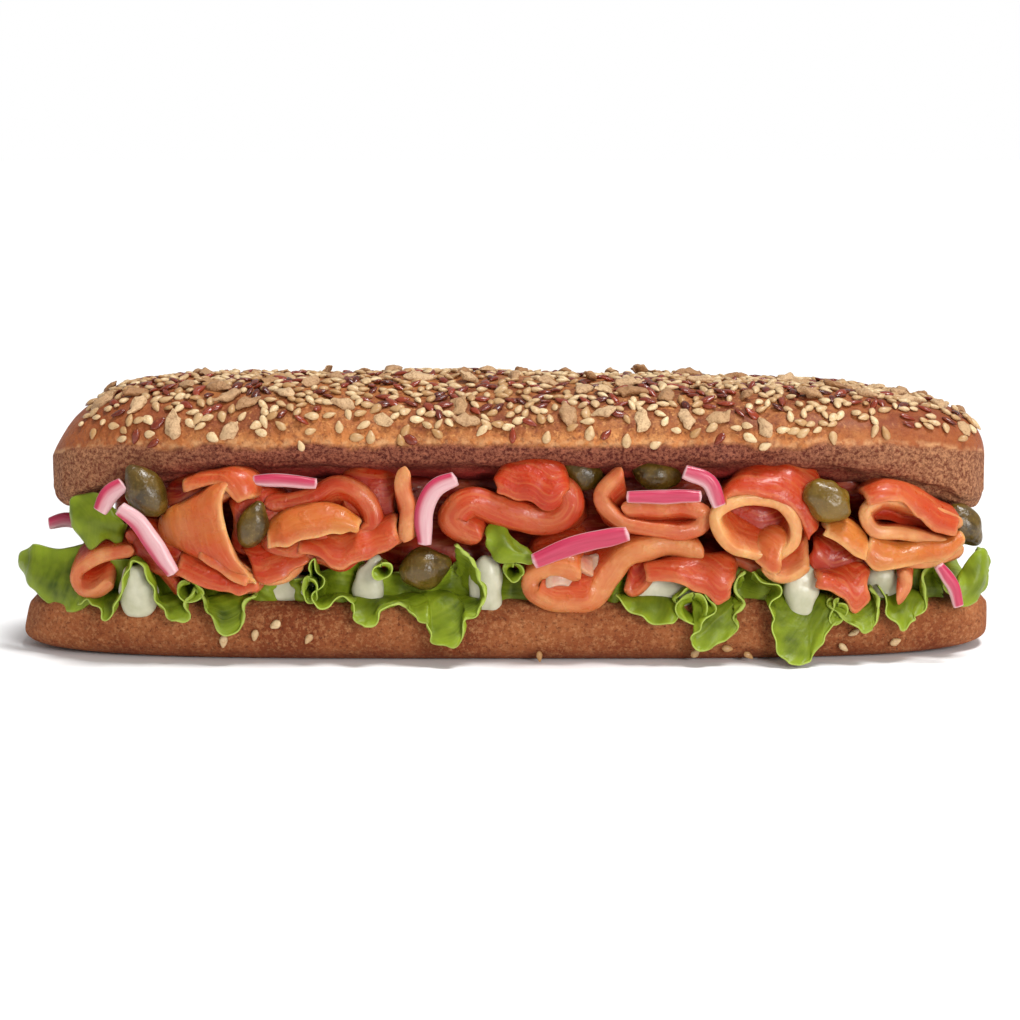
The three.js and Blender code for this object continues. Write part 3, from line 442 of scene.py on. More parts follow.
def curve(points, shares):
    """Points of a smooth curve through the given ones, at shares of its length.
    The points' first axis runs along the curve; any others are carried with it."""
    points = np.asarray(points, float)
    first = 2 * points[0] - points[1]
    last = 2 * points[-1] - points[-2]
    knots = np.concatenate([first[None], points, last[None]])
    steps = np.sqrt(np.linalg.norm(np.diff(knots, axis=0), axis=-1))
    steps = steps.reshape(len(steps), -1).mean(axis=1) + 1e-6
    times = np.concatenate([[0], np.cumsum(steps)])
    spans = range(1, len(knots) - 2)
    fine = np.array([centripetal(knots, times, k, u) for k in spans for u in np.linspace(0, 1, CURVE_STEPS)])
    gaps = np.linalg.norm(np.diff(fine, axis=0), axis=-1).reshape(len(fine) - 1, -1).mean(axis=1)
    lengths = np.concatenate([[0], np.cumsum(gaps)])
    wanted = np.asarray(shares) * lengths[-1]
    columns = [np.interp(wanted, lengths, column) for column in fine.reshape(len(fine), -1).T]
    return np.stack(columns, -1).reshape((len(wanted),) + points.shape[1:])


def centripetal(knots, times, k, u):
    """A point of a centripetal Catmull-Rom curve, u of the way from knot k to the next."""
    at = times[k] + (times[k + 1] - times[k]) * u
    knots, times = knots[k - 1:k + 3], times[k - 1:k + 3]

    def between(first, last, start, end):
        return (first * (end - at) + last * (at - start)) / (end - start)

    lines = [between(knots[i], knots[i + 1], times[i], times[i + 1]) for i in range(3)]
    bends = [between(lines[i], lines[i + 1], times[i], times[i + 2]) for i in range(2)]
    return between(*bends, times[1], times[2])


def grid_normals(grid):
    return normalised(np.cross(np.gradient(grid, axis=1), np.gradient(grid, axis=0)))


def path_lengths(grid, axis):
    """How far each point of a grid lies along its column (axis 0) or its row (axis 1)."""
    steps = np.linalg.norm(np.diff(grid, axis=axis), axis=-1)
    start = np.zeros_like(np.take(steps, [0], axis=axis))
    return np.concatenate([start, np.cumsum(steps, axis=axis)], axis=axis)


def edge_distances(grid):
    """How far each point of a grid lies behind its first row, along, before its last row and from an end."""
    behind = path_lengths(grid, 0)
    along = path_lengths(grid, 1)
    return behind, along, behind[-1:] - behind, np.minimum(along, along[:, -1:] - along)


def pushed(grid, amount):
    """The grid with each point moved out by its amount."""
    return grid + grid_normals(grid) * amount[..., None]


# Meshes
def grid_faces(rows, columns, closed=False):
    """Quads between the points of a grid; closed joins its last column to its first."""
    spans = [(c, (c + 1) % columns) for c in range(columns if closed else columns - 1)]
    pairs = [(r * columns + first, r * columns + second) for r in range(rows - 1) for first, second in spans]
    return [(here, beside, beside + columns, here + columns) for here, beside in pairs]


def ball(rings, sides):
    """Points and faces of a ball of radius 1, with its poles on X."""
    steps = np.linspace(0, math.pi, rings)[:, None]
    turns = np.linspace(0, 2 * math.pi, sides, endpoint=False)
    points = grid_of(-np.cos(steps), np.sin(steps) * np.cos(turns), np.sin(steps) * np.sin(turns))
    return points, grid_faces(rings, sides, closed=True)


def closed_sheet(grid, half):
    """Points and faces of a sheet about a grid: half is its half thickness, 0 at its rims.
    The rows say which row of the grid each row of points came from."""
    points = np.concatenate([pushed(grid, half)[::-1], pushed(grid, -half)[1:]])
    rows = np.concatenate([np.arange(len(grid))[::-1], np.arange(1, len(grid))])
    return points, rows, grid_faces(*points.shape[:2])


def add_object(name, data):
    item = bpy.data.objects.new(name, data)
    bpy.context.scene.collection.objects.link(item)
    return item


def add_piece(name, points, faces, material, slot, replaces=(), **marks):
    """A smooth mesh from points in millimetres, with marks on its points that the material reads."""
    mesh = bpy.data.meshes.new(name)
    points = (np.asarray(points, float).reshape(-1, 3) + (0, SHIFT, 0)) * METRES
    mesh.from_pydata(points.tolist(), [], faces)
    for key, values in marks.items():
        wide = values.size == len(points) * 3
        layer = mesh.attributes.new(key, "FLOAT_VECTOR" if wide else "FLOAT", "POINT")
        layer.data.foreach_set("vector" if wide else "value", values.ravel())
    clean = bmesh.new()
    clean.from_mesh(mesh)
    bmesh.ops.remove_doubles(clean, verts=clean.verts, dist=MERGE)
    bmesh.ops.recalc_face_normals(clean, faces=clean.faces)
    clean.to_mesh(mesh)
    clean.free()
    mesh.shade_smooth()
    piece = add_object(name, mesh)
    mesh.materials.append(material)
    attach(piece, "root")
    if replaces:
        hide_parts(*replaces)


def make_each(make, table, first=0, **settings):
    """Makes a piece from each row of a table. Its number gives it noise of its own."""
    for index, (name, row) in enumerate(table.items(), first):
        make(index, name, *row, **settings)


# Materials
class Look:
    """A Principled material whose pattern is laid out in millimetres."""

    def __init__(self, name, **sockets):
        self.material = bpy.data.materials.new(name)
        self.material.use_nodes = True
        self.tree = self.material.node_tree
        self.shader = self.tree.nodes["Principled BSDF"]
        self.set(**sockets)
        place = self.add("ShaderNodeTexCoord", output="Object")
        self.millimetres = self.scaled(place, (1 / METRES, 1 / METRES, 1 / METRES))

    def feed(self, socket, value):
        if isinstance(value, bpy.types.NodeSocket):
            self.tree.links.new(value, socket)
        else:
            socket.default_value = (*value, 1) if socket.type == "RGBA" else value

    def set(self, **sockets):
        """Feeds inputs of the shader, named with _ for each space."""
        for name, value in sockets.items():
            self.feed(self.shader.inputs[name.replace("_", " ")], value)

    def add(self, kind, inputs=(), output=0, **settings):
        """Adds a node, feeds its inputs by number or name, and returns one of its outputs."""
        node = self.tree.nodes.new(kind)
        for key, value in settings.items():
            setattr(node, key, value)
        for key, value in dict(inputs).items():
            self.feed(node.inputs[key], value)
        return node.outputs[output]

    def scaled(self, vector, factors):
        return self.add("ShaderNodeVectorMath", enumerate((vector, factors)), operation="MULTIPLY")

    def attribute(self, name, output="Fac"):
        return self.add("ShaderNodeAttribute", output=output, attribute_name=name)

    def noise(self, size, detail=3, stretch=(1, 1, 1), vector=None, rough=0.55, bend=0):
        """Noise with features of about the size in millimetres, stretched along the axes."""
        place = self.scaled(vector or self.millimetres, [1 / factor for factor in stretch])
        inputs = dict(Vector=place, Scale=1 / size, Detail=detail, Roughness=rough, Distortion=bend)
        return self.add("ShaderNodeTexNoise", inputs, "Fac")

    def product(self, *values):
        return self.add("ShaderNodeMath", enumerate(values), operation="MULTIPLY")

    def total(self, *values):
        return self.add("ShaderNodeMath", enumerate(values), operation="ADD")

    def level(self, value, low, high, to_low=0.0, to_high=1.0):
        """Maps the value from one range to another, held at its ends."""
        return self.add("ShaderNodeMapRange", enumerate((value, low, high, to_low, to_high)))

    def blend(self, share, first, second):
        return self.add("ShaderNodeMix", {0: share, 6: first, 7: second}, 2, data_type="RGBA")

    def over(self, under, colour, value, low, high, most=1.0):
        """Lays a colour over another as a value rises from low to high, up to a greatest share."""
        return self.blend(self.level(value, low, high, 0, most), under, colour)

    def finished(self, colour, *layers):
        """The material with its colour and its bumps, (height, millimetres) pairs on top of each other."""
        inputs = {}
        for height, distance in layers:
            inputs |= dict(Height=height, Distance=distance * METRES)
            inputs["Normal"] = self.add("ShaderNodeBump", inputs)
        self.set(Base_Color=colour, Normal=inputs["Normal"])
        return self.material


def crust_look():
    look = Look("crust", Specular_IOR_Level=0.22, Coat_Weight=0.05, Coat_Roughness=0.3)
    torn, low, end = look.attribute("torn"), look.attribute("low"), look.attribute("end")
    # low lightens the crust below the crown; the darker crown is painted shade between the seeds.
    broad = look.total(look.level(look.noise(26), 0.35, 0.65, 0, 0.55), look.product(low, 0.45))
    baked = look.blend(broad, (0.18, 0.036, 0.011), (0.64, 0.225, 0.055))
    baked = look.over(baked, (0.62, 0.27, 0.085), look.noise(5, 5), 0.45, 0.7, 0.6)
    baked = look.over(baked, (0.13, 0.024, 0.007), look.noise(1.7, 6, rough=0.7), 0.48, 0.66, 0.8)
    baked = look.over(baked, (0.74, 0.34, 0.11), look.noise(1.2, 5), 0.56, 0.7, 0.6)
    baked = look.blend(look.product(end, 0.75), baked, (0.27, 0.055, 0.014))
    floury = look.level(look.noise(2.5, 5), 0.4, 0.62, 0, 0.85)
    baked = look.blend(look.product(look.attribute("ridge"), floury), baked, (0.62, 0.32, 0.14))
    # Painted light: the torn crumb turns lighter towards the roll's ends, away from its shaded middle.
    light = look.blend(end, (0.5, 0.16, 0.085), (0.7, 0.32, 0.15))
    dark = look.blend(end, (0.12, 0.016, 0.01), (0.24, 0.06, 0.028))
    crumb = look.over(dark, light, look.noise(1.0, 6, rough=0.75), 0.41, 0.59)
    crumb = look.blend(look.attribute("shade"), crumb, (0.32, 0.02, 0.014))
    look.set(Roughness=look.level(torn, 0, 1, 0.5, 0.95))
    pores = look.level(look.noise(0.9, 6, (1.3, 1, 0.9), rough=0.7), 0.3, 0.7)
    pores = look.product(pores, look.level(torn, 0, 1, 0.15, 1))
    colour = look.blend(torn, baked, crumb)
    return look.finished(colour, (pores, 0.9), (look.noise(1.1, 6), 0.45), (look.noise(4), 0.9))


def lower_bread_look():
    look = Look("lower_bread", Specular_IOR_Level=0.2, Roughness=0.85)
    base = look.over((0.24, 0.055, 0.017), (0.42, 0.135, 0.045), look.noise(20), 0.35, 0.65)
    base = look.over(base, (0.6, 0.27, 0.11), look.noise(1.3, 6, rough=0.7), 0.48, 0.7, 0.85)
    base = look.over(base, (0.1, 0.02, 0.008), look.noise(1.0, 5, rough=0.7), 0.52, 0.68, 0.8)
    base = look.blend(look.product(look.attribute("low"), 0.5), base, (0.18, 0.036, 0.016))
    pores = look.noise(0.8, 6, (1.5, 1, 0.8), rough=0.7)
    return look.finished(base, (pores, 0.8), (look.noise(3, 4), 0.9))


def salmon_look():
    look = Look(
        "salmon", Specular_IOR_Level=0.24, Coat_Weight=0.12, Coat_Roughness=0.08,
        Subsurface_Weight=0.4, Subsurface_Scale=0.003, Subsurface_Radius=(1.0, 0.25, 0.1))
    grain = look.attribute("grain", "Vector")
    strands = look.noise(1.0, 4, (12, 1.5, 1), grain, 0.6, 0.5)
    fat = look.noise(1.0, 3, (26, 3.2, 1), grain, 0.55, 0.9)
    # The tone, partly the slice's own colour and partly painted light and shade, runs the flesh from deep
    # red to pale orange.
    tone = look.total(look.attribute("tone"), look.level(look.noise(9, 2), 0.3, 0.7, -0.12, 0.12))
    flesh = look.over((0.2, 0.004, 0.002), (0.44, 0.032, 0.006), tone, -0.3, 0.35)
    flesh = look.over(flesh, (0.48, 0.072, 0.018), tone, 0.35, 0.8)
    flesh = look.over(flesh, (0.5, 0.15, 0.024), tone, 0.8, 1.2)
    flesh = look.over(flesh, (0.6, 0.2, 0.06), strands, 0.47, 0.66, 0.34)
    flesh = look.over(flesh, (0.6, 0.23, 0.08), fat, 0.58, 0.7, 0.3)
    # The pale rim along a slice's shown edge is partly the paler thin flesh there and partly painted
    # highlight; it is strongest on the lighter slices.
    worn = look.level(look.noise(5, 2), 0.35, 0.65, 0.45, 1)
    rim = look.product(look.attribute("rim"), look.level(tone, 0.3, 1, 0.05, 0.85))
    flesh = look.blend(look.product(rim, worn), flesh, (0.76, 0.44, 0.17))
    flesh = look.blend(look.attribute("pale"), flesh, (0.58, 0.38, 0.27))
    look.set(Roughness=look.level(look.noise(1.6, 4), 0.35, 0.65, 0.25, 0.5))
    beads = look.product(look.level(look.noise(5, 2), 0.5, 0.62), look.noise(0.9))
    return look.finished(flesh, (strands, 0.22), (look.noise(3.6, 2), 0.18), (beads, 0.3))


def lettuce_look():
    look = Look(
        "lettuce", Specular_IOR_Level=0.2, Roughness=0.4, Coat_Weight=0.03, Coat_Roughness=0.25,
        Subsurface_Weight=0.1, Subsurface_Scale=0.002, Subsurface_Radius=(0.6, 1.0, 0.12))
    ribs = look.noise(1.0, 3, (2.4, 16, 1), look.attribute("grain", "Vector"), 0.55, 0.3)
    blade = look.over((0.045, 0.072, 0.002), (0.2, 0.26, 0.01), look.noise(7, 2), 0.25, 0.7)
    blade = look.over(blade, (0.32, 0.37, 0.03), ribs, 0.45, 0.7, 0.22)
    # Painted light and shade: the leaf is lighter near its rim and darker further in, where its hollows are
    # shaded.
    blade = look.blend(look.product(look.attribute("near_rim"), 0.6), blade, (0.26, 0.34, 0.02))
    blade = look.blend(look.attribute("rim"), blade, (0.35, 0.44, 0.075))
    return look.finished(blade, (ribs, 0.2), (look.noise(2.6, 2), 0.3))


def cream_look():
    look = Look(
        "cream", Specular_IOR_Level=0.4, Roughness=0.28,
        Subsurface_Weight=0.2, Subsurface_Scale=0.003, Subsurface_Radius=(1.0, 0.8, 0.5))
    cream = look.over((0.44, 0.43, 0.28), (0.65, 0.62, 0.47), look.noise(6), 0.3, 0.7)
    return look.finished(cream, (look.noise(4, 2), 0.3))


def onion_look():
    look = Look(
        "onion", Roughness=0.35, Coat_Weight=0.15, Coat_Roughness=0.15,
        Subsurface_Weight=0.2, Subsurface_Scale=0.003, Subsurface_Radius=(1.0, 0.45, 0.6))
    strands = look.noise(1.0, 3, (14, 0.8, 1), look.attribute("grain", "Vector"))
    flesh = look.over((0.58, 0.25, 0.29), (0.7, 0.5, 0.48), strands, 0.1, 0.9)
    peel = look.over((0.36, 0.008, 0.045), (0.57, 0.045, 0.11), strands, 0.1, 0.9)
    return look.finished(look.blend(look.attribute("skin"), flesh, peel), (strands, 0.15))


def caper_look():
    look = Look(
        "caper", Roughness=0.28, Coat_Weight=0.1, Coat_Roughness=0.15,
        Subsurface_Weight=0.05, Subsurface_Scale=0.002)
    base = look.blend(look.attribute("tone"), (0.032, 0.018, 0.0015), (0.18, 0.1, 0.007))
    base = look.over(base, (0.19, 0.11, 0.015), look.noise(3.4, 4), 0.48, 0.75, 0.6)
    base = look.over(base, (0.34, 0.22, 0.06), look.noise(0.9, 4), 0.56, 0.75, 0.4)
    return look.finished(base, (look.noise(2.8), 0.45), (look.noise(0.8, 4), 0.16))


def seed_look(name, dark, light, speck, roughness, coat=0.0, ridged=0.15):
    look = Look(name, Specular_IOR_Level=0.3, Roughness=roughness, Coat_Weight=coat, Coat_Roughness=0.2)
    base = look.blend(look.attribute("tone"), dark, light)
    base = look.over(base, speck, look.noise(0.9, 4), 0.5, 0.75, 0.7)
    return look.finished(base, (look.noise(0.8, 4), ridged))


CRUST = crust_look()
LOWER_BREAD = lower_bread_look()
SALMON = salmon_look()
LETTUCE = lettuce_look()
CREAM = cream_look()
ONION = onion_look()
CAPER = caper_look()
SESAME = seed_look("sesame", (0.42, 0.22, 0.08), (0.74, 0.55, 0.31), (0.36, 0.16, 0.05), 0.35, 0.1)
FLAX = seed_look("flax", (0.06, 0.008, 0.004), (0.27, 0.035, 0.012), (0.34, 0.08, 0.03), 0.2, 0.3)
KERNEL = seed_look("kernel", (0.36, 0.17, 0.065), (0.66, 0.44, 0.24), (0.2, 0.07, 0.025), 0.4, ridged=0.6)
FLAKE = seed_look("flake", (0.4, 0.2, 0.08), (0.68, 0.46, 0.25), (0.24, 0.09, 0.03), 0.6, ridged=0.7)


# Bread
def station_shares(count):
    """Stations along the roll from -1 to 1, closer together towards its ends."""
    return np.sin(np.linspace(-1, 1, count) * math.pi / 2) * END_STATION


def add_loaf(name, rings, material, slot, node, **marks):
    """A tube of rings, drawn together in a point at both ends."""
    first, last = (np.broadcast_to(ring.mean(axis=0), ring.shape)[None] for ring in (rings[0], rings[-1]))
    points = np.concatenate([first, rings, last])
    marks = {key: np.pad(values, ((1, 1), (0, 0)), mode="edge") for key, values in marks.items()}
    faces = grid_faces(*points.shape[:2], closed=True)
    add_piece(name, points, faces, material, slot, [node], **marks)


def crust_point(t, angle):
    """A plain point of the dome: angle from the front (0) over the top to the back (pi)."""
    depth = round_share(t, TOP["plan"]) * TOP["half_depth"]
    side = -boxy(np.cos(angle), TOP["side_power"])
    crown = TOP["crown"] - TOP["crown_fall"] * (0.5 + 0.5 * t)
    arch = np.maximum(0, np.sin(angle)) ** TOP["dome_power"]
    full = TOP["crust"] + (crown - TOP["crust"]) * arch
    z = TOP["tip_z"] + (full - TOP["tip_z"]) * round_share(t, TOP["crown_profile"])
    lean = TOP["left_lean"] * ramp(-t, 0.8, 1) * (z - TOP["tip_z"]) / (crown - TOP["tip_z"])
    return grid_of(TOP_MIDDLE + t * TOP_HALF + lean, side * depth, z)


def crust_surface(t, angle):
    """The lumpy crust and its outward direction."""
    plain = crust_point(t, angle)
    along = crust_point(t + SLOPE_STEP, angle) - crust_point(t - SLOPE_STEP, angle)
    around = crust_point(t, angle + SLOPE_STEP) - crust_point(t, angle - SLOPE_STEP)
    normal = normalised(np.cross(along, around))
    return plain + normal * layered_noise(plain, CRUST_LUMPS)[..., None], normal


def torn_lip(edge, side, depth, low, lip):
    """Torn crumb from one edge of the crust, under it and in to the middle of the underside."""
    shares = np.linspace(0, 1, LIP_STEPS)[1:]
    lower = curve([(y, z, 0) for y, z in TOP_LOWER], shares)
    start = ramp(shares, 0, 0.12)
    y = edge[:, 1:2] * (1 - start) + side * depth * lower[:, 0] * start
    z = edge[:, 2:] * (1 - start) + (low + lower[:, 1] * lip) * start
    torn = grid_of(edge[:, :1], y, z)
    rough = 0.9 * noise(torn * (0.6, 1, 1.6), 2.6, 11) + 0.9 * noise(torn, 6, 12)
    torn[..., 1] -= side * rough * ramp(shares, 0, 0.1) * np.minimum(1, depth / 10)
    torn[..., 2] += 0.7 * noise(torn, 5, 13)
    return torn


def top_bread():
    stations = station_shares(TOP_STATIONS)
    angles = np.linspace(0, math.pi, TOP_ANGLES)
    crust, _ = crust_surface(stations[:, None], angles[None])
    depth = (round_share(stations, TOP["plan"]) * TOP["half_depth"])[:, None]
    lip = round_share(stations, TOP["lip_profile"])[:, None]
    full = TOP["under"] - TOP["under_drop"] * np.abs(stations)[:, None] ** TOP["under_power"]
    low = TOP["tip_z"] + (full - TOP["tip_z"]) * lip
    back, front = (torn_lip(crust[:, edge], side, depth, low, lip) for edge, side in ((-1, 1), (0, -1)))
    ring = np.concatenate([crust, back, front[:, ::-1]], axis=1)
    flank = np.abs(np.abs(angles - math.pi / 2) - math.pi / 2) + 0.09 * layered_noise(crust, EDGE_LUMPS)
    under = np.ones((TOP_STATIONS, 2 * LIP_STEPS - 2))
    ridge = ramp(flank, 0.04, 0.1) * (1 - ramp(flank, 0.1, 0.2))
    x, z = np.abs(ring[..., 0]), ring[..., 2]
    add_loaf(
        "top_loaf", ring, CRUST, "seeded_crust", "bread_top",
        torn=np.concatenate([1 - ramp(flank, 0.03, 0.1), under], axis=1),
        # low lightens the crust below the crown, which leaves the crown painted darker as shade between its
        # seeds.
        ridge=np.concatenate([ridge, 0 * under], axis=1), low=1 - ramp(z, 62, 68),
        # end also lightens the torn crumb towards the roll's ends, which is painted light.
        end=ramp(x, 65, 125), shade=(1 - ramp(z, 52, 58)) * (1 - ramp(x, 70, 125)))


def lower_bread():
    stations = station_shares(BOTTOM_STATIONS)[:, None]
    x = stations * BOTTOM["half_length"]
    side = curve([(y, z, 0) for y, z in BOTTOM_SIDE], np.linspace(0, 1, BOTTOM_STEPS))
    outline = np.concatenate([side, (side * (-1, 1, 1))[::-1][1:-1]])
    y = outline[:, 0] * bread_edge(x)
    height = round_share(stations, BOTTOM["profile"])
    z = BOTTOM["tip_z"] + (outline[:, 1] * BOTTOM["top"] - BOTTOM["tip_z"]) * height
    lean = BOTTOM["left_lean"] * ramp(-stations, 0.9, 1) * z / BOTTOM["top"]
    ring = grid_of(x + lean, y, z)
    outward = np.sign(y) * ramp(np.abs(outline[:, 0]), 0.7, 0.95)
    ring[..., 1] += outward * layered_noise(ring, LOWER_LUMPS) * ramp(z, 0.5, 4)
    ring[..., 2] += 0.5 * noise(ring, 12, 34) * ramp(z, 14, 17)
    low = 1 - ramp(z + 2 * noise(ring, 7, 35), 0, 6)
    add_loaf("lower_loaf", ring, LOWER_BREAD, "bread_crumb", "bread_bottom", low=low)


# Seeds
# shape: length, width, thickness and how pointed, then rings and sides of its mesh
SEED_KINDS = {
    "kernels": dict(count=58, shape=(8.8, 4.8, 2.4, 0.4, 17, 16), crumple=0.7, spacing=6.5, look=KERNEL),
    "flakes": dict(count=26, shape=(7.4, 4.8, 1.1, 0.1, 15, 16), crumple=0.8, spacing=5.5, look=FLAKE),
    "flax": dict(count=380, shape=(4.8, 2.5, 1.3, 0.35, 9, 8), crumple=0.1, spacing=2.6, look=FLAX),
    "sesame": dict(count=980, shape=(3.8, 2.5, 1.5, 0.4, 8, 8), crumple=0.12, spacing=2.3, look=SESAME),
}


def seed_shape(length, width, thick, point_share, rings, sides):
    """A closed seed along X, blunt at one end and drawn to a point at the other."""
    points, faces = ball(rings, sides)
    points[..., 1:] *= 1 - point_share * ramp(points[..., :1], -0.4, 1)
    return points.reshape(-1, 3) * (length / 2, width / 2, thick / 2), faces


def seed_chance(places):
    """Seeds are rare low on the crust and at its left end, and thick near its top."""
    chance = LEAST_SEEDED + sum(more * ramp(places[:, 2], low, high) for low, high, more in SEEDED)
    return chance * ramp(places[:, 0], *BARE_END)


def seed_spots(random, count, spacing, taken, starts=()):
    """Places on the crust, each clear of those before it: (t, angle, spin)."""
    spots = []
    for x, degrees, spin in starts:
        t, angle = np.array((x - TOP_MIDDLE) / TOP_HALF), np.array(math.radians(degrees))
        spots.append((t, angle, math.radians(spin)))
        taken.append((*crust_point(t, angle), spacing))
    t = random.uniform(-SEED_END, SEED_END, SEED_TRIES)
    angle = random.uniform(SEED_EDGE, math.pi - SEED_EDGE, SEED_TRIES)
    places = crust_point(t, angle)
    for k in np.flatnonzero(random.random(SEED_TRIES) < seed_chance(places)):
        if len(spots) == count:
            break
        others = np.array(taken)
        gaps = np.linalg.norm(others[:, :3] - places[k], axis=1)
        if (gaps < (others[:, 3] + spacing) / 2).any():
            continue
        taken.append((*places[k], spacing))
        spots.append((t[k], angle[k], random.uniform(0, 2 * math.pi)))
    return spots


def seed_axes(normal, spin):
    """Axes of a seed that lies on a surface: along, across, out."""
    aside = normalised(np.cross((0, 1, 0), normal))
    along = aside * math.cos(spin) + np.cross(normal, aside) * math.sin(spin)
    return np.array((along, np.cross(normal, along), normal))


def seeds_mesh(name, kind, places, random):
    """All seeds of one kind as one mesh; places are (point, normal, spin)."""
    settings = SEED_KINDS[kind]
    thick = settings["shape"][2]
    shape, faces = seed_shape(*settings["shape"])
    points, quads, tones = [], [], []
    for number, (place, normal, spin) in enumerate(places):
        size = random.uniform(0.82, 1.15)
        out = normalised(normal + random.normal(0, 0.2, 3))
        bent = shape * (size, size * random.uniform(0.85, 1.15), size)
        bent = bent + settings["crumple"] * size * noise_vector(bent + 7 * number, 1.7, (1, 2, 3))
        points.append(place + out * thick * (0.5 - SEED_SUNK) + bent @ seed_axes(out, spin))
        quads += [tuple(number * len(shape) + corner for corner in quad) for quad in faces]
        tones.append(np.full(len(shape), random.uniform(0, 1)))
    points, tones = np.concatenate(points), np.concatenate(tones)
    add_piece(name, points, quads, settings["look"], "seeded_crust", tone=tones)


def crust_seeds():
    random = np.random.default_rng(7)
    taken = []
    for kind, settings in SEED_KINDS.items():
        starts = SHOWN_KERNELS if kind == "kernels" else ()
        spots = seed_spots(random, settings["count"], settings["spacing"], taken, starts)
        places = [(*crust_surface(t, angle), spin) for t, angle, spin in spots]
        seeds_mesh(f"crust_{kind}", kind, places, random)


def loose_seeds():
    """Sesame seeds that stuck to the front of the lower bread."""
    random = np.random.default_rng(11)
    places = []
    for x, z in LOOSE_SEEDS:
        place = np.array([x, -bread_edge(x) - 0.2, z])
        places.append((place, np.array([0.0, -1.0, 0.0]), random.uniform(0, math.pi)))
    seeds_mesh("loose_sesame", "sesame", places, random)


# Salmon
def drifted(points):
    x, y, z = np.asarray(points, float).T
    share = (y + BOTTOM["half_depth"]) / (2 * BOTTOM["half_depth"])
    aside = DRIFT["aside"] + DRIFT["swing"] * np.sin(x / DRIFT["swing_length"])
    rise = DRIFT["rise"] * np.sin(x / DRIFT["rise_length"] + 2)
    return grid_of(x + share * aside, y, z + share * rise)


def squeezed(path, space):
    """The path with its heights fitted into the space between the breads."""
    heights = [z for _, z in path]
    low, high = min(heights), max(heights)
    floor = max(low, space[0])
    roof = max(min(high, space[1]), floor + 1)
    return [(x, floor + (z - low) * (roof - floor) / (high - low)) for x, z in path]


def fold_stops(path, out, rise=0, depth=None, inner=None):
    """Rows of points of a fold: its front edge, its shoulder and its back."""
    inner = inner or path
    shoulder = min(FOLD_SHOULDER, depth / 2) if depth else FOLD_SHOULDER

    def row(points, behind, lift, share):
        flat = []
        middle = np.mean(points, axis=0)
        for x, z in middle + (np.array(points) - middle) * share:
            front = -bread_edge(x) - out
            back = front + depth if depth else bread_edge(x) + BACK_OUT
            flat.append((x, back if behind is None else front + behind, z + lift))
        return drifted(flat)

    return [row(path, 0, 0, 1), row(squeezed(inner, FRONT_SPACE), shoulder, rise, PINCH),
            row(squeezed(inner, BACK_SPACE), None, 0, 1)]


def rim_steps(radius, reach, count):
    """Distances from a rim inwards: close together over its rounding, then even."""
    rounded = radius * (1 - np.cos(np.linspace(0, math.pi / 2, 5)))
    return np.concatenate([rounded, np.linspace(radius, reach, count)[1:]])


def end_spaced(length, radius):
    """Shares along a length, close together near both ends."""
    near = rim_steps(radius, length / 2, 4 + int(length / 2.6)) / length
    return np.concatenate([near, 1 - near[::-1][1:]])


def slice_piece(name, grid, thick, index, tone, replaces=(), pale=0.0, fade=0.0):
    """A slice of salmon about a grid of points whose first row is its shown edge."""
    behind, along, back, ends = edge_distances(grid)
    body = 0.8 + 0.2 * ramp(behind, 0.5, 4) + 0.25 * ramp(behind, 6, 18)
    half = thick / 2 * body * (1 + 0.16 * noise(grid, 8, 20 + index))
    half *= rounding(behind, thick * RIM_ROUND) * rounding(back, thick / 2)
    half *= rounding(ends, thick * END_ROUND)
    points, rows, faces = closed_sheet(grid, half)
    around = (behind + half)[rows]
    around[len(grid):] *= -1
    inward = np.minimum(behind, back)[rows]
    from_edge = np.minimum(inward, ends[rows])
    add_piece(
        f"fine_{name}", points, faces, SALMON, "smoked_salmon", replaces,
        grain=grid_of(along[rows], around, index * 17.0),
        # rim: a pale shown edge, partly painted highlight.
        rim=min(1, RIM_THICK / thick) ** 2 * (1 - ramp(from_edge, 0.2, 2)),
        # The tone falls towards the inside of the slice, as painted shade.
        tone=tone + 0.2 * noise(points, 14, 60 + index) - fade * ramp(inward, 2, 12),
        pale=pale * (1 - ramp(from_edge, 1, 5)))


def salmon_fold(index, name, tone=0.5, thick=SALMON_THICK, pale=0.0, replaces=(), **fold):
    stops = fold_stops(**fold)
    length = path_lengths(stops[0][None], 1)[0, -1]
    fine = [curve(stop, end_spaced(length, thick * END_ROUND)) for stop in stops]
    depth = np.linalg.norm(fine[2] - fine[0], axis=-1).mean()
    grid = curve(fine, rim_steps(thick * RIM_ROUND, depth, 8 + int(depth / 4)) / depth)
    wobble = noise_vector(grid, (9, 12, 8), (50, 65, 80), index) * (0.65, 1.3, 0.65)
    crease = 0.25 * noise(grid * (1, 0.35, 1), 4.5, 95 + index)
    grid = pushed(grid, crease) + wobble
    slice_piece(name, grid, thick, index, tone, replaces, pale, FOLD_FADE)


def rounded_ends(low, high, shares, least=0.25):
    """Draws two edges together towards both ends, down to the least share of their distance."""
    width = (least + (1 - least) * rounding(np.minimum(shares, 1 - shares), BLADE_CORNER))[:, None]
    middle = (low + high) / 2
    return middle + (low - middle) * width, middle + (high - middle) * width


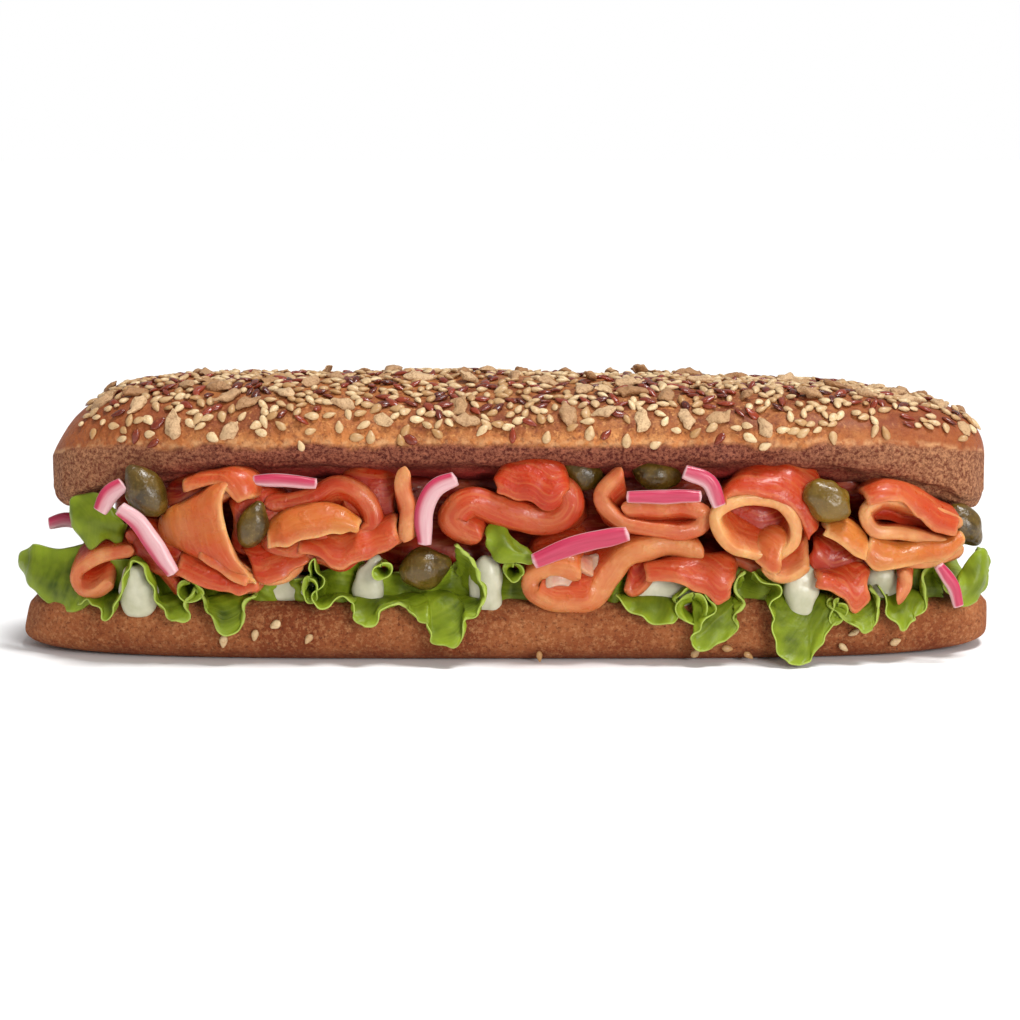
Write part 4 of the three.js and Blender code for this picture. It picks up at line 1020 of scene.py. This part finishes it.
def salmon_face(index, name, lower, upper, tone, side=-1):
    """A slice whose face shows: it hangs from its upper edge, which runs back under the other folds.
    At the back the same slice is turned round."""
    def row(edge, behind, drop):
        return [(-side * x, side * (bread_edge(x) + out - behind), z - drop) for x, out, z in edge]

    length = path_lengths(np.array(upper, float)[None], 1)[0, -1]
    shares = end_spaced(length, FACE_THICK)
    edges = row(lower, 0, 0), row(upper, 0, 0), row(upper, FACE_TUCK, 1)
    low, high, tucked = (curve(edge, shares) for edge in edges)
    low, high = rounded_ends(low, high, shares, 0.6)
    middle = (low + high) / 2 + (0, side * FACE_BULGE, 0)
    low[:, 2] += 0.8 * noise(low, 3.5, 130 + index)
    grid = curve([low, middle, high, tucked], rim_steps(0.06, 1, 16))
    wobble = 0.6 * noise_vector(grid, 8, (140, 155, 170), index)
    crease = 0.4 * noise(grid, 4, 185 + index)
    grid = pushed(grid, crease) + wobble
    slice_piece(name, grid, FACE_THICK, index, tone)


def salmon_bed():
    xs = np.linspace(BED["left"], BED["right"], 12)
    rows = []
    for behind in (0, BED["depth"] / 2, BED["depth"]):
        z = BED["height"] + BED["wave"] * np.sin((xs + behind) / BED["wave_length"])
        row = grid_of(xs, BED["inset"] + behind - bread_edge(xs), z)
        rows.append(curve(row, np.linspace(0, 1, 140)))
    grid = curve(rows, np.linspace(0, 1, 14))
    slice_piece("salmon_bed", grid, BED["thick"], 91, 0.3, ["salmon_bed"])


def salmon_curtain(name, side, index):
    """Slices seen behind the folds, pleated one over the other."""
    xs = np.linspace(CURTAIN["left"], CURTAIN["right"], 200)[None]
    zs = np.linspace(CURTAIN["high"], CURTAIN["low"], 26)[:, None]
    phase = 2.5 * noise(grid_of(xs, 0, zs / 3), 22, index)
    pleat = np.sin(zs / 3.2 + phase) + np.sin(xs / CURTAIN["fold_length"] * 2 + zs / 7)
    y = side * (bread_edge(xs) - CURTAIN["inset"] + CURTAIN["fold"] * 0.5 * pleat)
    # The curtain's low tone is painted shade inside the filling.
    slice_piece(name, grid_of(xs, y, zs), CURTAIN["thick"], index, -0.1)


def salmon():
    for index, (name, fold) in enumerate(FOLDS.items()):
        salmon_fold(index, name, replaces=[name], **fold)
    for index, (name, fold) in enumerate(SMALL_FOLDS.items(), 40):
        salmon_fold(index, name, **fold)
    for index, (name, face) in enumerate(FACES.items(), 60):
        salmon_face(index, f"{name}_face", *face)
        if name in BACK_FACES:
            salmon_face(index, f"{name}_back_face", *face, side=1)
    salmon_bed()
    salmon_curtain("front_curtain", -1, 31)
    salmon_curtain("back_curtain", 1, 32)


# Lettuce
def leaf_piece(name, grid, index, replaces=(), crimp=0.55):
    """A leaf about a grid of points, with the crinkle of lettuce, which is strongest at its rim."""
    depth, along, back, ends = edge_distances(grid)
    from_rim = np.minimum(np.minimum(depth, back), ends)
    frill = crimp * np.sin(along / 1.3 + 3 * noise(grid, 12, 70 + index)) * np.exp(-from_rim / 5)
    broad = 0.9 * noise(grid, 6, 71 + index) * np.exp(-from_rim / 14)
    fine = 0.3 * noise(grid, 2.4, 75 + index) * np.exp(-from_rim / 6)
    grid = pushed(grid, frill + broad + fine)
    half = LEAF_THICK / 2 * (0.5 + 0.5 * rounding(from_rim, LEAF_THICK))
    points, rows, faces = closed_sheet(grid, np.where(from_rim <= 0, 0, half))
    # The mark near the rim carries painted light there and painted shade further in.
    add_piece(
        f"fine_{name}", points, faces, LETTUCE, "lettuce", replaces,
        rim=1 - ramp(from_rim[rows], 0.1, 0.5), near_rim=1 - ramp(from_rim[rows], 0.5, 5),
        grain=grid_of(along[rows], depth[rows], index * 13.0))


def bed_leaf(index, name, *rim):
    """A leaf whose front rim shows, which lies on the lower bread and hangs out at the back."""
    shares = np.linspace(0, 1, LEAF_COLUMNS)
    front = curve([(x, -bread_edge(x) - out, z) for x, out, z in rim], shares)
    front = front + noise_vector(front, 3.4, (270, 271, 272)) * (1.1, 0.7, 1.1)
    front[:, 2] = np.maximum(front[:, 2], LEAF_THICK)
    even = front[0, 0] + (front[-1, 0] - front[0, 0]) * shares
    x, z = front[:, 0], front[:, 2]
    bed = LEAF_BED["height"]
    shoulder_x = even + (x - even) * 0.9
    shoulder = grid_of(shoulder_x, 0.5 - bread_edge(shoulder_x), bed + np.maximum(0, z - bed) * 0.95)
    bed_x = even + (x - even) * 0.2
    lying = grid_of(bed_x, LEAF_BED["inset"] - bread_edge(bed_x), bed)
    wave = np.sin(even / LEAF_BACK["wave_length"])
    back_z = LEAF_BACK["height"] + LEAF_BACK["wave"] * wave
    back = grid_of(even + 1.5 * wave, bread_edge(even) + LEAF_BACK["out"], back_z)
    shown = curve([front, shoulder, lying], rim_steps(0.8, 26, 20) / 26)
    back_bed = grid_of(even, bread_edge(even) - 1, bed)
    rest = curve([lying, back_bed, back], np.linspace(0, 1, 18))[1:]
    leaf_piece(name, np.concatenate([shown, rest]), index, [name])


def leaf_blade(index, name, lower, upper):
    """A leaf tip that stands clear of the bed, between two edges."""
    shares = np.linspace(0, 1, 70)
    low, high = rounded_ends(curve(lower, shares), curve(upper, shares), shares)
    middle = (low + high) / 2 + (0, -BLADE_BOW, 0)
    grid = curve([low, middle, high], np.linspace(0, 1, 30))
    grid = grid + noise_vector(grid, 8, (230, 240, 250), index) * (0.7, 1.8, 0.7)
    leaf_piece(name, grid, index, [name] if name in BLADES else (), 0.35)


def leaf_curl(index, name, x, out, z, radius, height, side):
    """A leaf tip rolled up, whose mouth flares outwards."""
    turns = np.linspace(0, 2 * math.pi, 64)
    rows = []
    for behind, share in ((0, 1.0), (CURL_MOUTH * 0.3, 0.72), (CURL_MOUTH, 0.56), (CURL_LENGTH, 0.5)):
        uneven = 1 + 0.16 * noise(grid_of(turns * 2, 0, behind / 9), 2, index)
        reach = radius * share * uneven
        depth = bread_edge(x) + out - behind + 0.8 * np.sin(2 * turns)
        rows.append(grid_of(x + reach * np.sin(turns), side * depth, z + reach * height * np.cos(turns)))
    leaf_piece(name, curve(rows, rim_steps(0.06, 1, 14)), index)


def inner_leaf(name, side, index):
    """Leaf that stands up behind the rims of the others."""
    xs = np.linspace(INNER_LEAF["left"], INNER_LEAF["right"], 320)[None]
    shares = rim_steps(0.05, 1, 12)[:, None]
    line = grid_of(xs, 0, 0)
    top = INNER_LEAF["high"] + INNER_LEAF["rise"] * noise(line, 11, 200 + index)
    z = top + (INNER_LEAF["low"] - top) * shares
    sway = np.sin(xs / 2.1 + 3 * noise(line, 17, 210 + index)) * (1 - 0.7 * shares)
    y = side * (bread_edge(xs) - INNER_LEAF["inset"] - INNER_LEAF["sway"] * sway)
    x = xs + 1.8 * (1 - shares) * noise(line, 5, 220 + index)
    leaf_piece(name, grid_of(x, y, z), index)


def lettuce():
    make_each(bed_leaf, LEAVES)
    make_each(leaf_blade, BLADES | EXTRA_BLADES, 10)
    make_each(leaf_curl, CURLS, 30, side=-1)
    make_each(leaf_curl, BACK_CURLS, 30, side=1)
    inner_leaf("inner_leaf_front", -1, 20)
    inner_leaf("inner_leaf_back", 1, 21)


# Onion, caper berries and cream
def onion_strip(index, name, y, width, peel, path):
    shares = np.linspace(0, 1, STRIP_STEPS)[:, None]
    turns = np.linspace(0, 2 * math.pi, STRIP_SIDES, endpoint=False)
    middle = curve([(x, y, z) for x, z in path], shares[:, 0])
    tangent = normalised(np.gradient(middle, axis=0))
    across = grid_of(-tangent[:, 2], 0, tangent[:, 0])
    taper = 0.45 + 0.55 * np.sin(np.pi * (0.12 + 0.76 * shares)) ** 0.6
    from_end = np.minimum(shares, 1 - shares)
    ends = rounding(from_end, 0.02)
    wide = boxy(np.cos(turns), 0.6) * (width / 2 * taper * ends)
    deep = boxy(np.sin(turns), 0.6) * (ONION_THICK / 2 * ends)
    points = middle[:, None] + across[:, None] * wide[..., None]
    points[..., 1] += deep - 0.45 * np.sin(turns) ** 2
    points = points + 0.25 * noise(points, 5, 90 + index)[..., None] * (1, 0, 1)
    skin = ramp(np.cos(turns) + 2 * peel - 1, -0.3, 0.3) * ramp(np.abs(np.sin(turns)), 0.1, 0.3)
    skin = skin * ramp(from_end, 0.015, 0.05)
    faces = grid_faces(STRIP_STEPS, STRIP_SIDES, closed=True)
    grain = grid_of(shares * 30, wide, deep)
    add_piece(f"fine_{name}", points, faces, ONION, "pickled_onion", [name], skin=skin, grain=grain)


def caper_berry(index, name, at, length, girth, tilt):
    unit, faces = ball(48, 44)
    along = unit[..., 0]
    pointed = 1 - 0.22 * ramp(along, 0.2, 1) + 0.05 * np.cos(3 * along)
    body = unit * (length / 2, girth / 2, girth / 2)
    body[..., 1:] *= pointed[..., None]
    body += unit * layered_noise(body, CAPER_LUMPS, index)[..., None]
    light = 0.25
    if name == "caper_lump":
        light = 0.8
        body += unit * 1.2 * np.exp(-((along + 0.95) / 0.25) ** 2)[..., None]
        body += unit * (0.5 * noise(body, 2.6, 105))[..., None]
    turn = math.radians(tilt)
    x = body[..., 0] * math.cos(turn) - body[..., 2] * math.sin(turn)
    z = body[..., 0] * math.sin(turn) + body[..., 2] * math.cos(turn)
    points = grid_of(x, body[..., 1], z) + at
    tone = np.clip(light + 0.35 * noise(points, 6, 110), 0, 1)
    add_piece(f"fine_{name}", points, faces, CAPER, "caper_berry", [name], tone=tone)


def dollop(index, name, at, size):
    unit, faces = ball(44, 52)
    at = np.array(at)
    points = boxy(unit, 0.85) * size * CREAM_SMEAR / 2
    lumpy = 2.2 * noise(points + at, 5, 120 + index)
    points = points + unit * lumpy[..., None] * (1, 0.4, 1) + at - (0, math.copysign(CREAM_BACK, at[1]), 0)
    add_piece(f"fine_{name}", points, faces, CREAM, "cream", [name])


def cream_spread():
    """The layer under the dollops, as large as its node but for a margin at the front and the back."""
    low, high = (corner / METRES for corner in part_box("cream_spread"))
    xs = np.linspace(low.x, high.x, 160)
    ys = np.linspace(low.y + CREAM_MARGIN, high.y - CREAM_MARGIN, 30)[:, None] - SHIFT
    grid = grid_of(xs, ys, (low.z + high.z) / 2)
    grid[..., 2] += 1.1 * noise(grid, 9, 230)
    behind, _, back, _ = edge_distances(grid)
    half = 1.5 * rounding(behind, 1.5) * rounding(back, 1.5)
    points, _, faces = closed_sheet(grid, half)
    add_piece("fine_cream_spread", points, faces, CREAM, "cream", ["cream_spread"])


# Stage
def add_floor():
    mesh = bpy.data.meshes.new("floor")
    corners = [(x * FLOOR_HALF, y * FLOOR_HALF, 0) for x, y in ((-1, -1), (1, -1), (1, 1), (-1, 1))]
    mesh.from_pydata(corners, [], [(0, 1, 2, 3)])
    floor = add_object("floor", mesh)
    mesh.materials.append(Look("floor", Base_Color=(0.93, 0.93, 0.93), Roughness=0.9).material)


def add_light(name, kind, place, aim, power, **settings):
    light = bpy.data.lights.new(name, kind)
    light.energy = power
    for key, value in settings.items():
        setattr(light, key, value)
    lamp = add_object(name, light)
    lamp.location = place
    lamp.rotation_euler = (Vector(aim) - Vector(place)).to_track_quat("-Z", "Y").to_euler()


def add_camera():
    camera = bpy.data.cameras.new("camera")
    camera.lens = LENS
    camera.sensor_width = SENSOR
    camera.clip_start = 0.01
    viewer = add_object("camera", camera)
    x, y, z = TARGET
    away = DISTANCE * math.cos(ELEVATION)
    up = DISTANCE * math.sin(ELEVATION)
    viewer.location = (x * METRES, (y + SHIFT - away) * METRES, (z + up) * METRES)
    viewer.rotation_euler = (math.pi / 2 - ELEVATION, 0, 0)
    bpy.context.scene.camera = viewer


def add_world():
    """An even white studio: pure white to the camera, softer as light."""
    scene = bpy.context.scene
    world = bpy.data.worlds.new("studio")
    world.use_nodes = True
    tree = world.node_tree
    path = tree.nodes.new("ShaderNodeLightPath")
    strength = tree.nodes.new("ShaderNodeMapRange")
    strength.inputs["To Min"].default_value = WORLD_LIGHT
    tree.links.new(path.outputs["Is Camera Ray"], strength.inputs["Value"])
    background = tree.nodes["Background"]
    background.inputs["Color"].default_value = (1, 1, 1, 1)
    tree.links.new(strength.outputs[0], background.inputs["Strength"])
    scene.world = world
    scene.view_settings.view_transform = "Standard"


add_camera()
add_world()
add_floor()
add_light("sun", "SUN", **SUN)
add_light("front", "AREA", **LAMP)

top_bread()
lower_bread()
crust_seeds()
loose_seeds()
salmon()
lettuce()
make_each(onion_strip, ONIONS)
make_each(caper_berry, CAPERS)
make_each(dollop, DOLLOPS)
cream_spread()
